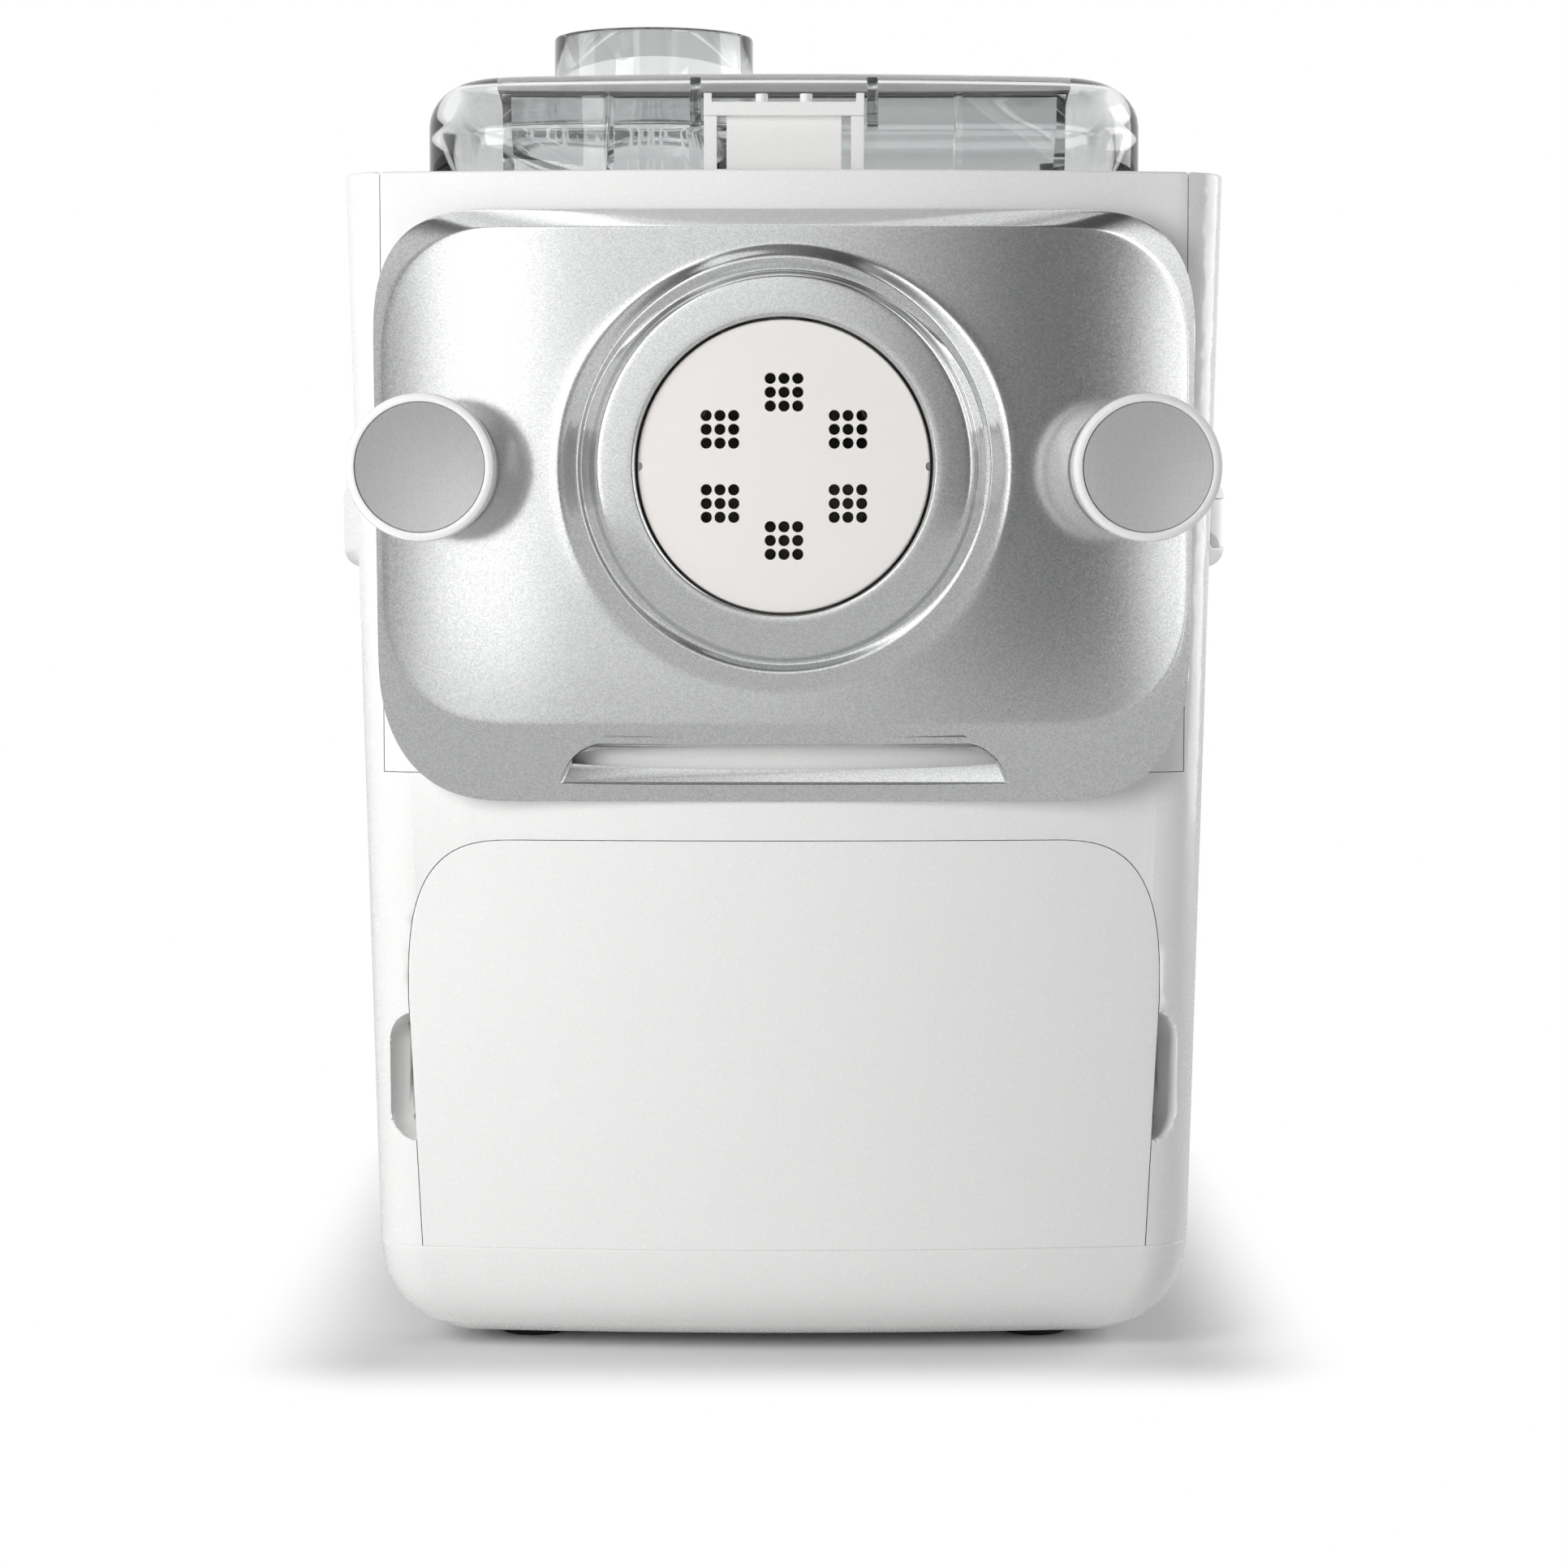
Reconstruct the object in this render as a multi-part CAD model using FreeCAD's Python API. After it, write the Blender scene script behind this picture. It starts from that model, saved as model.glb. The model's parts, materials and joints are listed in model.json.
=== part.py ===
import FreeCAD, Part
import math
import os

V = FreeCAD.Vector

# Electric pasta maker, in millimetres.
# X runs to the right, the front faces minus Y, Z is up and the feet stand on zero.

# Outer body
FRONT_Y = -147.0          # crown of the bowed front
REAR_Y = 183.0            # flat back
FRONT_BOW = 670.0         # radius of the gentle bow of the front, seen from above
FRONT_CORNER = 15.0       # upright corners at the front
REAR_CORNER = 20.0        # upright corners at the back
TOP_Z = 301.0             # top rim of the body
SEAM_Z = 29.0             # seam between body and base tray
TOP_HALF = 111.4          # half width at the top rim
SEAM_HALF = 104.2         # half width at the seam
WALL = 3.0                # wall of the moulded housing
SEAM_GAP = 0.2            # visible gap between two shells
CLEAR = 0.3               # free gap between pieces that pass each other
SEAT_FIT = 0.2            # play of a piece in its seat
PRESS = 0.05              # play of a pressed-in ring or a screw's thread
GLUE_FIT = 0.02           # play of what is pressed on a shaft
PAST = 1.0                # how far a cut or a joined volume runs past a face

# Base tray and feet
FOOT_HEIGHT = 3.0         # tray underside above the table
TRAY_ROUND = 25.0         # rounding of the lower edge
TRAY_STEPS = 5            # sections through that rounding
TRAY_SHRINK = 0.6         # share by which the upright corners shrink there
FOOT_RADIUS = 9.0
FOOT_SINK = 2.0           # depth of the foot's seat in the tray
FOOT_EDGE = 0.8           # rounding of the foot's lower edge
FOOT_X = 66.0
FOOT_FRONT_Y = -104.0
FOOT_REAR_Y = 140.0

# Drive line
AXIS_Z = 227.0            # height of paddle, screw and disc
SHAFT_RADIUS = 6.0
DRIVE_SQUARE = 8.0        # square end of the drive shaft
RUNNING_FIT = 0.05        # radial play of a turning shaft

# Mixing tub
TUB_RADIUS = 72.0
TUB_WALL = 3.0
TUB_FRONT_Y = -117.0
TUB_REAR_Y = 35.0
TUB_TOP_Z = 322.0
TUB_FLANGE = 11.0         # width of the rim that rests on the deck
TUB_FLANGE_THICK = 2.5
FLANGE_FRONT = 5.0        # rim in front of the tub
FLANGE_REAR = 8.0         # rim behind the tub
TUB_ROOM = 1.0            # play of the tub in the deck's opening
RIB_X = 44.5              # upright ribs on the tub's front
RIB_HALF = 1.0
RIB_REACH = 4.0
SEAL_OUTER = 12.0
SEAL_THICK = 0.8
SEAL_LAP = 1.0            # lid seal wider than the tub's wall, each side

# Deck and lid
DECK_THICK = 3.0
DECK_DROP = 1.0           # deck top below the body rim
LID_HALF = 92.0
LID_FRONT_Y = -128.0
LID_REAR_Y = 50.0
LID_TOP_Z = 328.0
LID_WALL = 2.5
LID_ROUND = 13.0          # rounding of the top edge
LID_CORNER = 24.0         # upright corners of the lid
COLLAR_X = -35.4
COLLAR_Y = -52.0
COLLAR_RADIUS = 27.0
COLLAR_TOP_Z = 344.5
FUNNEL_MOUTH = 21.5
FUNNEL_OUTLET = 9.0
FUNNEL_DEPTH = 18.0
FUNNEL_WALL = 1.5
CLIP_X = 22.4             # hook clips on the lid
CLIP_WIDTH = 2.8
CLIP_DROP = 14.0
CLIP_BELOW = 2.0          # clip's upper end below the lid's top
CLIP_ROOT = 8.0           # clip's root inside the lid's rounded edge

# Catch frame in front of the lid
CATCH_HALF = 20.2
CATCH_BAR_Z = 317.4
CATCH_BAR_THICK = 3.4
CATCH_POST = 3.3
CATCH_DEPTH = 5.0
CATCH_TIP = 2.2
PEG_X = 5.6
PEG_RADIUS = 1.6
CATCH_PLATE_HALF = 14.5
CATCH_GAP = 2.0           # frame in front of the lid
CATCH_FOOT = 2.0
CATCH_INSET = 1.0         # posts and plate in from the frame's back
CATCH_POST_DEPTH = 3.0
CATCH_PLATE_THICK = 1.5
CATCH_TIP_WIDTH = 2.0
SWITCH_HALF = 10.0
SWITCH_HEIGHT = 12.0

# Silver front panel
PANEL_HALF = 103.5
PANEL_LOW_Z = 143.0
PANEL_HIGH_Z = 290.5
FACE_HALF = 102.3         # raised main face inside the sloping band
FACE_LOW_Z = 162.0
FACE_HIGH_Z = 285.8
PANEL_EDGE = 1.0          # panel edge proud of the body
PANEL_RISE = 9.0          # main face proud of the body
PANEL_SKIN = 2.5
PANEL_RIM = 26.0          # how far the rim reaches back round the body's bow
FACE_LEAN = 0.5           # sloping band's top in front of the main face, before it is trimmed
PANEL_POWER = 6.0         # squareness of the outline
OUTLINE_STEPS = 72
GRIP_LOW_Z = 147.4
GRIP_HIGH_Z = 158.2
GRIP_LOW_HALF = 56.7
GRIP_HIGH_HALF = 52.0
GRIP_CORNER = 6.0
GRIP_WALL = 1.5
GRIP_BACK = 0.6           # recess wall in front of the body
GRIP_FLOOR = 2.0          # recess floor in front of the body
LINER_THICK = 2.4
LINER_MARGIN = 4.0        # liner inside the main face's outline

# Round nose of the panel and the shaping disc
NOSE_CREST = 54.2
NOSE_CHANNEL = 50.5
NOSE_EDGE = 47.0
NOSE_BORE = 36.8
NOSE_FRONT = 4.0          # annulus proud of the main face
CREST_FRONT = 3.0         # crest proud of the main face
NOSE_ROUND = 0.6          # rounded inner edge of the nose
CHANNEL_HALF = 2.0        # half width of the channel's floor
CHANNEL_LIFT = 0.5        # channel's inner side proud of the main face
CREST_FOOT = 2.6          # crest's foot outside its top
CREST_FOOT_LIFT = 0.6
NOSE_ROOT = 4.5           # nose's root under the main face
DISC_RADIUS = 36.2
DISC_THICK = 8.5
DISC_BACK_Y = -150.0
HOLE_RADIUS = 1.4
HOLE_PITCH = 3.4
CLUSTER_RADIUS = 18.3
CLUSTERS = 6
NOTCH_RADIUS = 1.2
NOTCH_DEPTH = 2.0
DISC_EDGE = 0.6

# Extrusion tube and screw
TUBE_RADIUS = 29.0
TUBE_BORE = 25.0
TUBE_FRONT_Y = -146.0
TUBE_FLANGE = 38.0
SCREW_RADIUS = 24.4
SCREW_CORE = 9.0
SCREW_PITCH = 22.0
SCREW_TURNS = 3.0
SCREW_FLIGHT = 3.5        # thickness of the flight at its root
SCREW_TIP_Y = -143.0
SCREW_BACK_Y = -60.0

# Mixing paddle
PADDLE_HUB = 11.0
PADDLE_REAR_Y = 27.0
PADDLE_REACH = 64.0
PADDLE_BAR = 6.0
PADDLE_ARMS = 4
PADDLE_BLADE = 0.45       # blade's reach each way, as a share of the arms' pitch
SCREW_TANG = 15.0         # square tang of the screw in the paddle's hub
SHAFT_SQUARE_Y = -8.0     # front end of the drive shaft's square

# Clamp knobs
KNOB_X = 87.9
KNOB_Z = 226.5
KNOB_RADIUS = 18.0
KNOB_SKIRT = 16.8
KNOB_BACK_Y = -153.4
KNOB_FRONT_Y = -183.0
KNOB_RIM = 2.3
KNOB_HEAD = 9.0           # length of the wide head
KNOB_EDGE = 1.1           # rounding of the head's edges
KNOB_CORE = 2.5           # wall of the skirt round its hollow
KNOB_CROWN = 5.0          # cap in front of the bolt's bore
INSET_THICK = 1.4
INSET_DISH = 0.5
BOLT_RADIUS = 6.0
BOLT_SHOULDER = 8.0
SHOULDER_THICK = 2.0
BUSH_RADIUS = 8.5
LUG_LENGTH = 22.0
LUG_WIDTH = 7.0
LUG_THICK = 3.7
LUG_ROOM = 0.4            # play of the lugs in their slots
LUG_BACK_Y = -130.0
RECEIVER_BACK_Y = -134.2
RECEIVER_HALF = 14.0

# Drawer below the tub
DRAWER_TOP_Z = 133.0
DRAWER_WIDE_HALF = 95.4
DRAWER_WIDE_Z = 93.0
DRAWER_LOW_HALF = 92.1
DRAWER_FLAT_HALF = 67.0   # straight part of the top edge
DRAWER_POWER = 3.0
DRAWER_ROOM = 14.2        # beside the drawer box, for its runner
DRAWER_BOX_LOW_Z = 34.0
DRAWER_BOX_TOP_Z = 117.0
DRAWER_REAR_Y = 34.0
DRAWER_WALL = 2.0
DRAWER_LIP = 4.0          # lip that rides on the runner
LIP_THICK = 2.0
RUNNER_Y = -122.0         # front end of the runners
RUNNER_THICK = 2.5
SCOOP_RADIUS = 8.0        # finger scoops beside the drawer
SCOOP_X = 93.2
SCOOP_Z = 72.5
SCOOP_Y = -140.0
SCOOP_HEIGHT = 33.0
SCOOP_PAD = 4.0           # material round a scoop

# Side pods
POD_RISE = 7.23           # pod proud of the body's side
POD_ROOT = 8.0            # pod's root inside the body's side
POD_Z = 213.0
POD_HEIGHT = 23.0
POD_FRONT_Y = -137.0
POD_REAR_Y = 33.0
POD_ROUND = 3.5
GLASS_RIM = 4.5
GLASS_THICK = 1.5
GLASS_DROP = 0.5
KEY_RADIUS = 4.6
KEY_STEM = 2.2
KEY_COUNT = 3
KEY_FIRST_Y = -20.0
KEY_PITCH = 14.0
KEY_TRAVEL = 0.8
KEY_CAP = 4.1
KEY_EDGE = 0.5            # rounding of the cap's edge
DOME_RADIUS = 3.2
DISPLAY_Y0 = -112.0
DISPLAY_Y1 = -52.0
DISPLAY_HALF = 5.0
DISPLAY_THICK = 2.2
BOARD_THICK = 1.6
BOARD_BEHIND = 17.3       # control board behind the pod's face
BOARD_HALF = 8.0
POST_RADIUS = 2.5         # posts that carry the control board
POST_REACH = 8.0          # posts beyond the outer keys
POST_MARGIN = 5.0         # board beyond the posts
DOME_HEIGHT = 3.0

# Inner walls
SHELF_Z = 136.0           # floor between drawer and tub
BULKHEAD_Y = 40.0         # wall between tub and motor space
SADDLE_SPOTS = (-90.0, 8.0)
SADDLE_HALF = 42.0        # saddles that the tub rests in
SADDLE_THICK = 4.0
SADDLE_RISE = 30.0

# Screws, their bosses and the boards
SCREW_HEAD = 3.6
SCREW_SHANK = 1.9
SCREW_LENGTH = 8.0
HEAD_HEIGHT = 2.0
HEAD_ROOM = 0.3           # play round a sunk head
SLOT_DEPTH = 0.8
SLOT_HALF = 0.5
THREAD_PASS = 0.1         # play of a shank in a plain hole
BOSS_INSET = 10.2         # base screws in from the body's side
BOSS_FRONT_Y = -116.0
BOSS_REAR_Y = 158.0
BOSS_RADIUS = 5.5
BOSS_TOP_Z = 60.0
BOSS_RIB_HALF = 2.0
BASE_SCREW_Z = 14.0
BASE_SCREW_LENGTH = 30.0
BOARD_X0 = 44.0           # power board on the tray
BOARD_X1 = 94.0
BOARD_Y0 = 66.0
BOARD_Y1 = 146.0
BOARD_Z = 14.0
BOARD_INSET = 5.0
BOARD_POST = 3.0

# Gearbox
MODULE_SLOW = 1.75
TEETH_SLOW = 72
TEETH_SLOW_PINION = 14
MODULE_FAST = 1.25
TEETH_FAST = 60
TEETH_FAST_PINION = 12
BACKLASH = 0.16
CASE_WALL = 3.5
CASE_SLOW_GAP = 0.75
CASE_DEPTH = 41.0
COVER_THICK = 4.0
SLOW_FACE = 12.0
FAST_FACE = 8.0
BEARING_OUTER = 14.0
BEARING_WIDTH = 8.0
IDLER_SHAFT = 4.0
IDLER_BUSH = 7.0
BUSH_LENGTH = 6.0
BUSH_SINK = 2.0           # idler bushes sunk in case and cover
POCKET_WALL = 3.0         # wall round a bearing or bush
GEAR_HUB = 13.0
HUB_LENGTH = 2.0
GEAR_SPACE = 4.0          # between the slow and the fast stage
MOTOR_NECK = 10.0         # case beyond the motor pinion's teeth
CASE_BOSS = 5.0
CASE_BOSS_OUT = 3.0       # upper screw bosses outside the case
CASE_BOSS_LENGTH = 21.0

# Motor
MOTOR_RADIUS = 36.0
MOTOR_LENGTH = 68.0
MOTOR_WALL = 2.0
ROTOR_SHAFT = 3.5
ROTOR_RADIUS = 21.0
ROTOR_LENGTH = 36.0
STATOR_BORE = 21.8
FAN_RADIUS = 30.0
FAN_BLADES = 9
FAN_START = 54.0          # fan behind the gearbox cover
FAN_DEPTH = 8.0
FAN_HUB = 9.0
BLADE_HALF = 0.8
FAN_PLATE = 1.2
STACK_START = 12.0        # iron stacks behind the gearbox cover
CAN_BOTTOM = 3.0
CAP_THICK = 4.0
CAN_SLOTS = 8
CAN_SLOT_HALF = 5.0
CAP_HOLES = 6
CAP_HOLE_RADIUS = 6.0
CAP_HOLE_CIRCLE = 22.0
BRACKET_HALF = 30.0
BRACKET_FOOT = 16.0
BRACKET_THICK = 2.0

# Rear cover
REAR_HALF = 88.0
REAR_LOW_Z = 46.0
REAR_HIGH_Z = 284.0
REAR_LEDGE = 6.0
VENT_COUNT = 12
VENT_HEIGHT = 3.0
VENT_PITCH = 8.0
VENT_HALF = 45.0
VENT_RISE = 30.0          # vents' middle above the motor's axis
GLAND_X = 60.0
GLAND_Z = 66.0
GLAND_RADIUS = 8.0
GLAND_BORE = 4.0
GLAND_LENGTH = 10.0
GLAND_FLANGE = 3.0
REAR_SCREW_X = 84.2
REAR_SCREW_DROP = 14.0    # cover screws in from the cover's ends
LEDGE_THICK = 3.0

# Worked out from the sizes above
BOW_CENTRE_Y = FRONT_Y + FRONT_BOW
DECK_Z = TOP_Z - DECK_DROP
SLOW_CENTRES = MODULE_SLOW * (TEETH_SLOW + TEETH_SLOW_PINION) / 2
FAST_CENTRES = MODULE_FAST * (TEETH_FAST + TEETH_FAST_PINION) / 2
IDLER_Z = AXIS_Z - SLOW_CENTRES
MOTOR_Z = IDLER_Z - FAST_CENTRES
CASE_Y = BULKHEAD_Y + WALL
COVER_Y = CASE_Y + CASE_DEPTH
SLOW_Y = CASE_Y + BEARING_WIDTH + HUB_LENGTH
FAST_Y = SLOW_Y + SLOW_FACE + GEAR_SPACE
MOTOR_Y = COVER_Y + COVER_THICK
FACE_Y = FRONT_Y - PANEL_RISE
FLOOR_Z = FOOT_HEIGHT + WALL
DRAWER_BOX_HALF = SEAM_HALF - WALL - DRAWER_ROOM
BOSS_X = SEAM_HALF - BOSS_INSET


def half_at(z):
    """Half width of the tapering body at a height."""
    return SEAM_HALF + (TOP_HALF - SEAM_HALF) * (z - SEAM_Z) / (TOP_Z - SEAM_Z)


def bow_y(x, proud=0.0):
    """Depth of the bowed front at a distance from the middle."""
    return BOW_CENTRE_Y - math.sqrt((FRONT_BOW + proud) ** 2 - x * x)


POD_OUT = half_at(POD_Z) + POD_RISE
BOARD_X = POD_OUT - BOARD_BEHIND


# Simple solids
def box(x0, x1, y0, y1, z0, z1):
    return Part.makeBox(x1 - x0, y1 - y0, z1 - z0, V(x0, y0, z0))


def rod_x(y, z, radius, x0, x1):
    return Part.makeCylinder(radius, x1 - x0, V(x0, y, z), V(1, 0, 0))


def rod_y(x, z, radius, y0, y1):
    return Part.makeCylinder(radius, y1 - y0, V(x, y0, z), V(0, 1, 0))


def rod_z(x, y, radius, z0, z1):
    return Part.makeCylinder(radius, z1 - z0, V(x, y, z0), V(0, 0, 1))


def ring_y(x, z, inner, outer, y0, y1):
    return rod_y(x, z, outer, y0, y1).cut(rod_y(x, z, inner, y0 - PAST, y1 + PAST))


def fuse(shapes):
    """One solid from overlapping or touching shapes."""
    return shapes[0].multiFuse(shapes[1:]).removeSplitter()


def mirrored(shape):
    """The same piece on the other side of the machine."""
    return shape.mirror(V(0, 0, 0), V(1, 0, 0))


def save(name, *pieces):
    solids = []
    for piece in pieces:
        solids.extend(piece.Solids)
    shape = solids[0] if len(solids) == 1 else Part.makeCompound(solids)
    if not shape.isValid():
        print("invalid", name)
    print(name, len(solids), round(shape.Volume))
    shape.exportStep("parts/" + name + ".step")


# Outlines
def arc(start, middle, end):
    return Part.Arc(start, middle, end).toShape()


def line(start, end):
    return Part.LineSegment(start, end).toShape()


def plan_wire(z, half, inset, corner, rear_corner):
    """Body outline from above: bowed front, round corners, flat sides and back."""
    bow = FRONT_BOW - inset
    side = half - inset
    rear = REAR_Y - inset
    cx = side - corner
    cy = BOW_CENTRE_Y - math.sqrt((bow - corner) ** 2 - cx * cx)
    reach = bow / (bow - corner)
    tx = cx * reach
    ty = BOW_CENTRE_Y + (cy - BOW_CENTRE_Y) * reach
    turn = math.atan2(cy - BOW_CENTRE_Y, cx) / 2
    mx = cx + corner * math.cos(turn)
    my = cy + corner * math.sin(turn)
    rx = side - rear_corner
    ry = rear - rear_corner
    diagonal = rear_corner * math.sqrt(0.5)
    edges = [
        arc(V(-tx, ty, z), V(0, BOW_CENTRE_Y - bow, z), V(tx, ty, z)),
        arc(V(tx, ty, z), V(mx, my, z), V(side, cy, z)),
        line(V(side, cy, z), V(side, ry, z)),
        arc(V(side, ry, z), V(rx + diagonal, ry + diagonal, z), V(rx, rear, z)),
        line(V(rx, rear, z), V(-rx, rear, z)),
        arc(V(-rx, rear, z), V(-rx - diagonal, ry + diagonal, z), V(-side, ry, z)),
        line(V(-side, ry, z), V(-side, cy, z)),
        arc(V(-side, cy, z), V(-mx, my, z), V(-tx, ty, z)),
    ]
    return Part.Wire(edges)


def body_solid(z0, z1, inset):
    """Solid block of the tapering body between two heights, drawn in by inset."""
    wires = []
    for z in (z0, z1):
        wires.append(plan_wire(z, half_at(z), inset, FRONT_CORNER - inset, REAR_CORNER - inset))
    return Part.makeLoft(wires, True, True)


def tray_solid(inset):
    """Block of the base tray, whose sides roll under in a quarter round."""
    wires = [plan_wire(SEAM_Z, SEAM_HALF, inset, FRONT_CORNER - inset, REAR_CORNER - inset)]
    radius = TRAY_ROUND - inset
    top = FOOT_HEIGHT + TRAY_ROUND
    for step in range(TRAY_STEPS + 1):
        angle = math.pi / 2 * step / TRAY_STEPS
        draw = inset + radius * (1 - math.cos(angle))
        shrink = 1 - TRAY_SHRINK * draw / TRAY_ROUND
        z = top - radius * math.sin(angle)
        wires.append(plan_wire(z, SEAM_HALF, draw, FRONT_CORNER * shrink, REAR_CORNER * shrink))
    return Part.makeLoft(wires, True, True)


def squircle(half_x, low_z, high_z, y):
    """Closed outline between a rectangle and an ellipse, in an upright plane."""
    half_z = (high_z - low_z) / 2
    centre = (high_z + low_z) / 2
    points = []
    for step in range(OUTLINE_STEPS):
        angle = 2 * math.pi * step / OUTLINE_STEPS
        across = abs(math.cos(angle) / half_x) ** PANEL_POWER
        upward = abs(math.sin(angle) / half_z) ** PANEL_POWER
        reach = (across + upward) ** (-1 / PANEL_POWER)
        points.append(V(reach * math.cos(angle), y, centre + reach * math.sin(angle)))
    curve = Part.BSplineCurve()
    curve.interpolate(points, PeriodicFlag=True)
    return Part.Wire([curve.toShape()])


def prism_y(wire, depth):
    return Part.Face(wire).extrude(V(0, depth, 0))


def drawer_wire(y, grow):
    """Outline of the drawer front: tapered sides and soft upper corners."""
    corner_x = DRAWER_WIDE_HALF - DRAWER_FLAT_HALF
    corner_z = DRAWER_TOP_Z - DRAWER_WIDE_Z
    right = []
    steps = 10
    for step in range(steps + 1):
        angle = math.pi / 2 * step / steps
        x = DRAWER_FLAT_HALF + (corner_x + grow) * math.cos(angle) ** (2 / DRAWER_POWER)
        z = DRAWER_WIDE_Z + (corner_z + grow) * math.sin(angle) ** (2 / DRAWER_POWER)
        right.append(V(x, y, z))
    left = []
    for point in reversed(right):
        left.append(V(-point.x, y, point.z))
    low_z = SEAM_Z - grow
    low_right = V(DRAWER_LOW_HALF + grow, y, low_z)
    low_left = V(-DRAWER_LOW_HALF - grow, y, low_z)
    corner_right = Part.BSplineCurve()
    corner_right.interpolate(right)
    corner_left = Part.BSplineCurve()
    corner_left.interpolate(left)
    edges = [
        line(low_right, right[0]),
        corner_right.toShape(),
        line(right[-1], left[0]),
        corner_left.toShape(),
        line(left[-1], low_left),
        line(low_left, low_right),
    ]
    return Part.Wire(edges)


def pill_x(y0, y1, z, height, x0, x1):
    """Upright-ended capsule plate that faces sideways."""
    radius = height / 2
    plate = box(x0, x1, y0 + radius, y1 - radius, z - radius, z + radius)
    front = rod_x(y0 + radius, z, radius, x0, x1)
    rear = rod_x(y1 - radius, z, radius, x0, x1)
    return fuse([plate, front, rear])


def gear(teeth, module, centre_z, first_tooth, y0, y1, bore):
    """Spur gear about a shaft along Y, with involute flanks."""
    pitch = module * teeth / 2
    base = pitch * math.cos(math.radians(20))
    tip = pitch + module
    root = pitch - 1.25 * module
    start = max(root, base)

    def involute(radius):
        return math.sqrt(max(radius * radius / (base * base) - 1, 0)) - math.acos(min(base / radius, 1))

    half_tooth = math.pi / (2 * teeth) - BACKLASH / (4 * pitch)

    def flank(radius, side, middle):
        angle = middle + side * (half_tooth + involute(pitch) - involute(radius))
        return V(radius * math.cos(angle), y0, centre_z + radius * math.sin(angle))

    def root_point(angle):
        return V(root * math.cos(angle), y0, centre_z + root * math.sin(angle))

    waist = (start + tip) / 2
    foot_angle = half_tooth + involute(pitch) - involute(start)
    step = 2 * math.pi / teeth
    edges = []
    for tooth in range(teeth):
        middle = math.radians(first_tooth) + step * tooth
        left_foot = flank(start, -1, middle)
        left_tip = flank(tip, -1, middle)
        right_foot = flank(start, 1, middle)
        right_tip = flank(tip, 1, middle)
        crown = V(tip * math.cos(middle), y0, centre_z + tip * math.sin(middle))
        root_end = root_point(middle + foot_angle)
        if start > root:
            edges.append(line(root_point(middle - foot_angle), left_foot))
        edges.append(arc(left_foot, flank(waist, -1, middle), left_tip))
        edges.append(arc(left_tip, crown, right_tip))
        edges.append(arc(right_tip, flank(waist, 1, middle), right_foot))
        if start > root:
            edges.append(line(right_foot, root_end))
        edges.append(arc(root_end, root_point(middle + step / 2), root_point(middle + step - foot_angle)))
    blank = prism_y(Part.Wire(edges), y1 - y0)
    return blank.cut(rod_y(0, centre_z, bore, y0 - PAST, y1 + PAST))


def screw_y(x, y, z, way):
    """Pan head screw along Y, with its head's seat at y and its shank going way."""
    top = y - way * HEAD_HEIGHT
    head = rod_y(x, z, SCREW_HEAD, min(y, top), max(y, top))
    end = y + way * SCREW_LENGTH
    shank = rod_y(x, z, SCREW_SHANK, min(y - way, end), max(y - way, end))
    slot = box(
        x - SCREW_HEAD, x + SCREW_HEAD, top - SLOT_DEPTH, top + SLOT_DEPTH, z - SLOT_HALF, z + SLOT_HALF)
    return fuse([head, shank]).cut(slot)


os.makedirs("parts", exist_ok=True)

# Base tray with its feet
boss_spots = []
for side in (-1, 1):
    for y in (BOSS_FRONT_Y, BOSS_REAR_Y):
        boss_spots.append((side * BOSS_X, y))

tray = tray_solid(0)
columns = []
for x, y in boss_spots:
    columns.append(rod_z(x, y, BOSS_RADIUS, FOOT_HEIGHT, SEAM_Z).common(tray))
for x in (BOARD_X0 + BOARD_INSET, BOARD_X1 - BOARD_INSET):
    for y in (BOARD_Y0 + BOARD_INSET, BOARD_Y1 - BOARD_INSET):
        columns.append(rod_z(x, y, BOARD_POST, FLOOR_Z - PAST, BOARD_Z))
tray = fuse([tray.cut(tray_solid(WALL))] + columns)
for x, y in boss_spots:
    tray = tray.cut(rod_z(x, y, SCREW_SHANK + THREAD_PASS, 0, SEAM_Z + PAST))
    tray = tray.cut(rod_z(x, y, SCREW_HEAD + HEAD_ROOM, 0, BASE_SCREW_Z))
feet = []
for x in (-FOOT_X, FOOT_X):
    for y in (FOOT_FRONT_Y, FOOT_REAR_Y):
        foot = rod_z(x, y, FOOT_RADIUS, 0, FOOT_HEIGHT + FOOT_SINK)
        rim = [edge for edge in foot.Edges if edge.BoundBox.ZMax < 0.01]
        feet.append(foot.makeFillet(FOOT_EDGE, rim))
        tray = tray.cut(rod_z(x, y, FOOT_RADIUS + THREAD_PASS, 0, FOOT_HEIGHT + FOOT_SINK))
save("base_tray", tray)
save("rubber_feet", *feet)

base_screws = []
for x, y in boss_spots:
    low = BASE_SCREW_Z - HEAD_HEIGHT
    head = rod_z(x, y, SCREW_HEAD, low, BASE_SCREW_Z)
    shank = rod_z(x, y, SCREW_SHANK, BASE_SCREW_Z - PAST, BASE_SCREW_Z + BASE_SCREW_LENGTH)
    slot = box(x - SCREW_HEAD, x + SCREW_HEAD, y - SLOT_HALF, y + SLOT_HALF, low - PAST, low + SLOT_DEPTH)
    base_screws.append(fuse([head, shank]).cut(slot))
save("base_screws", *base_screws)

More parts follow.
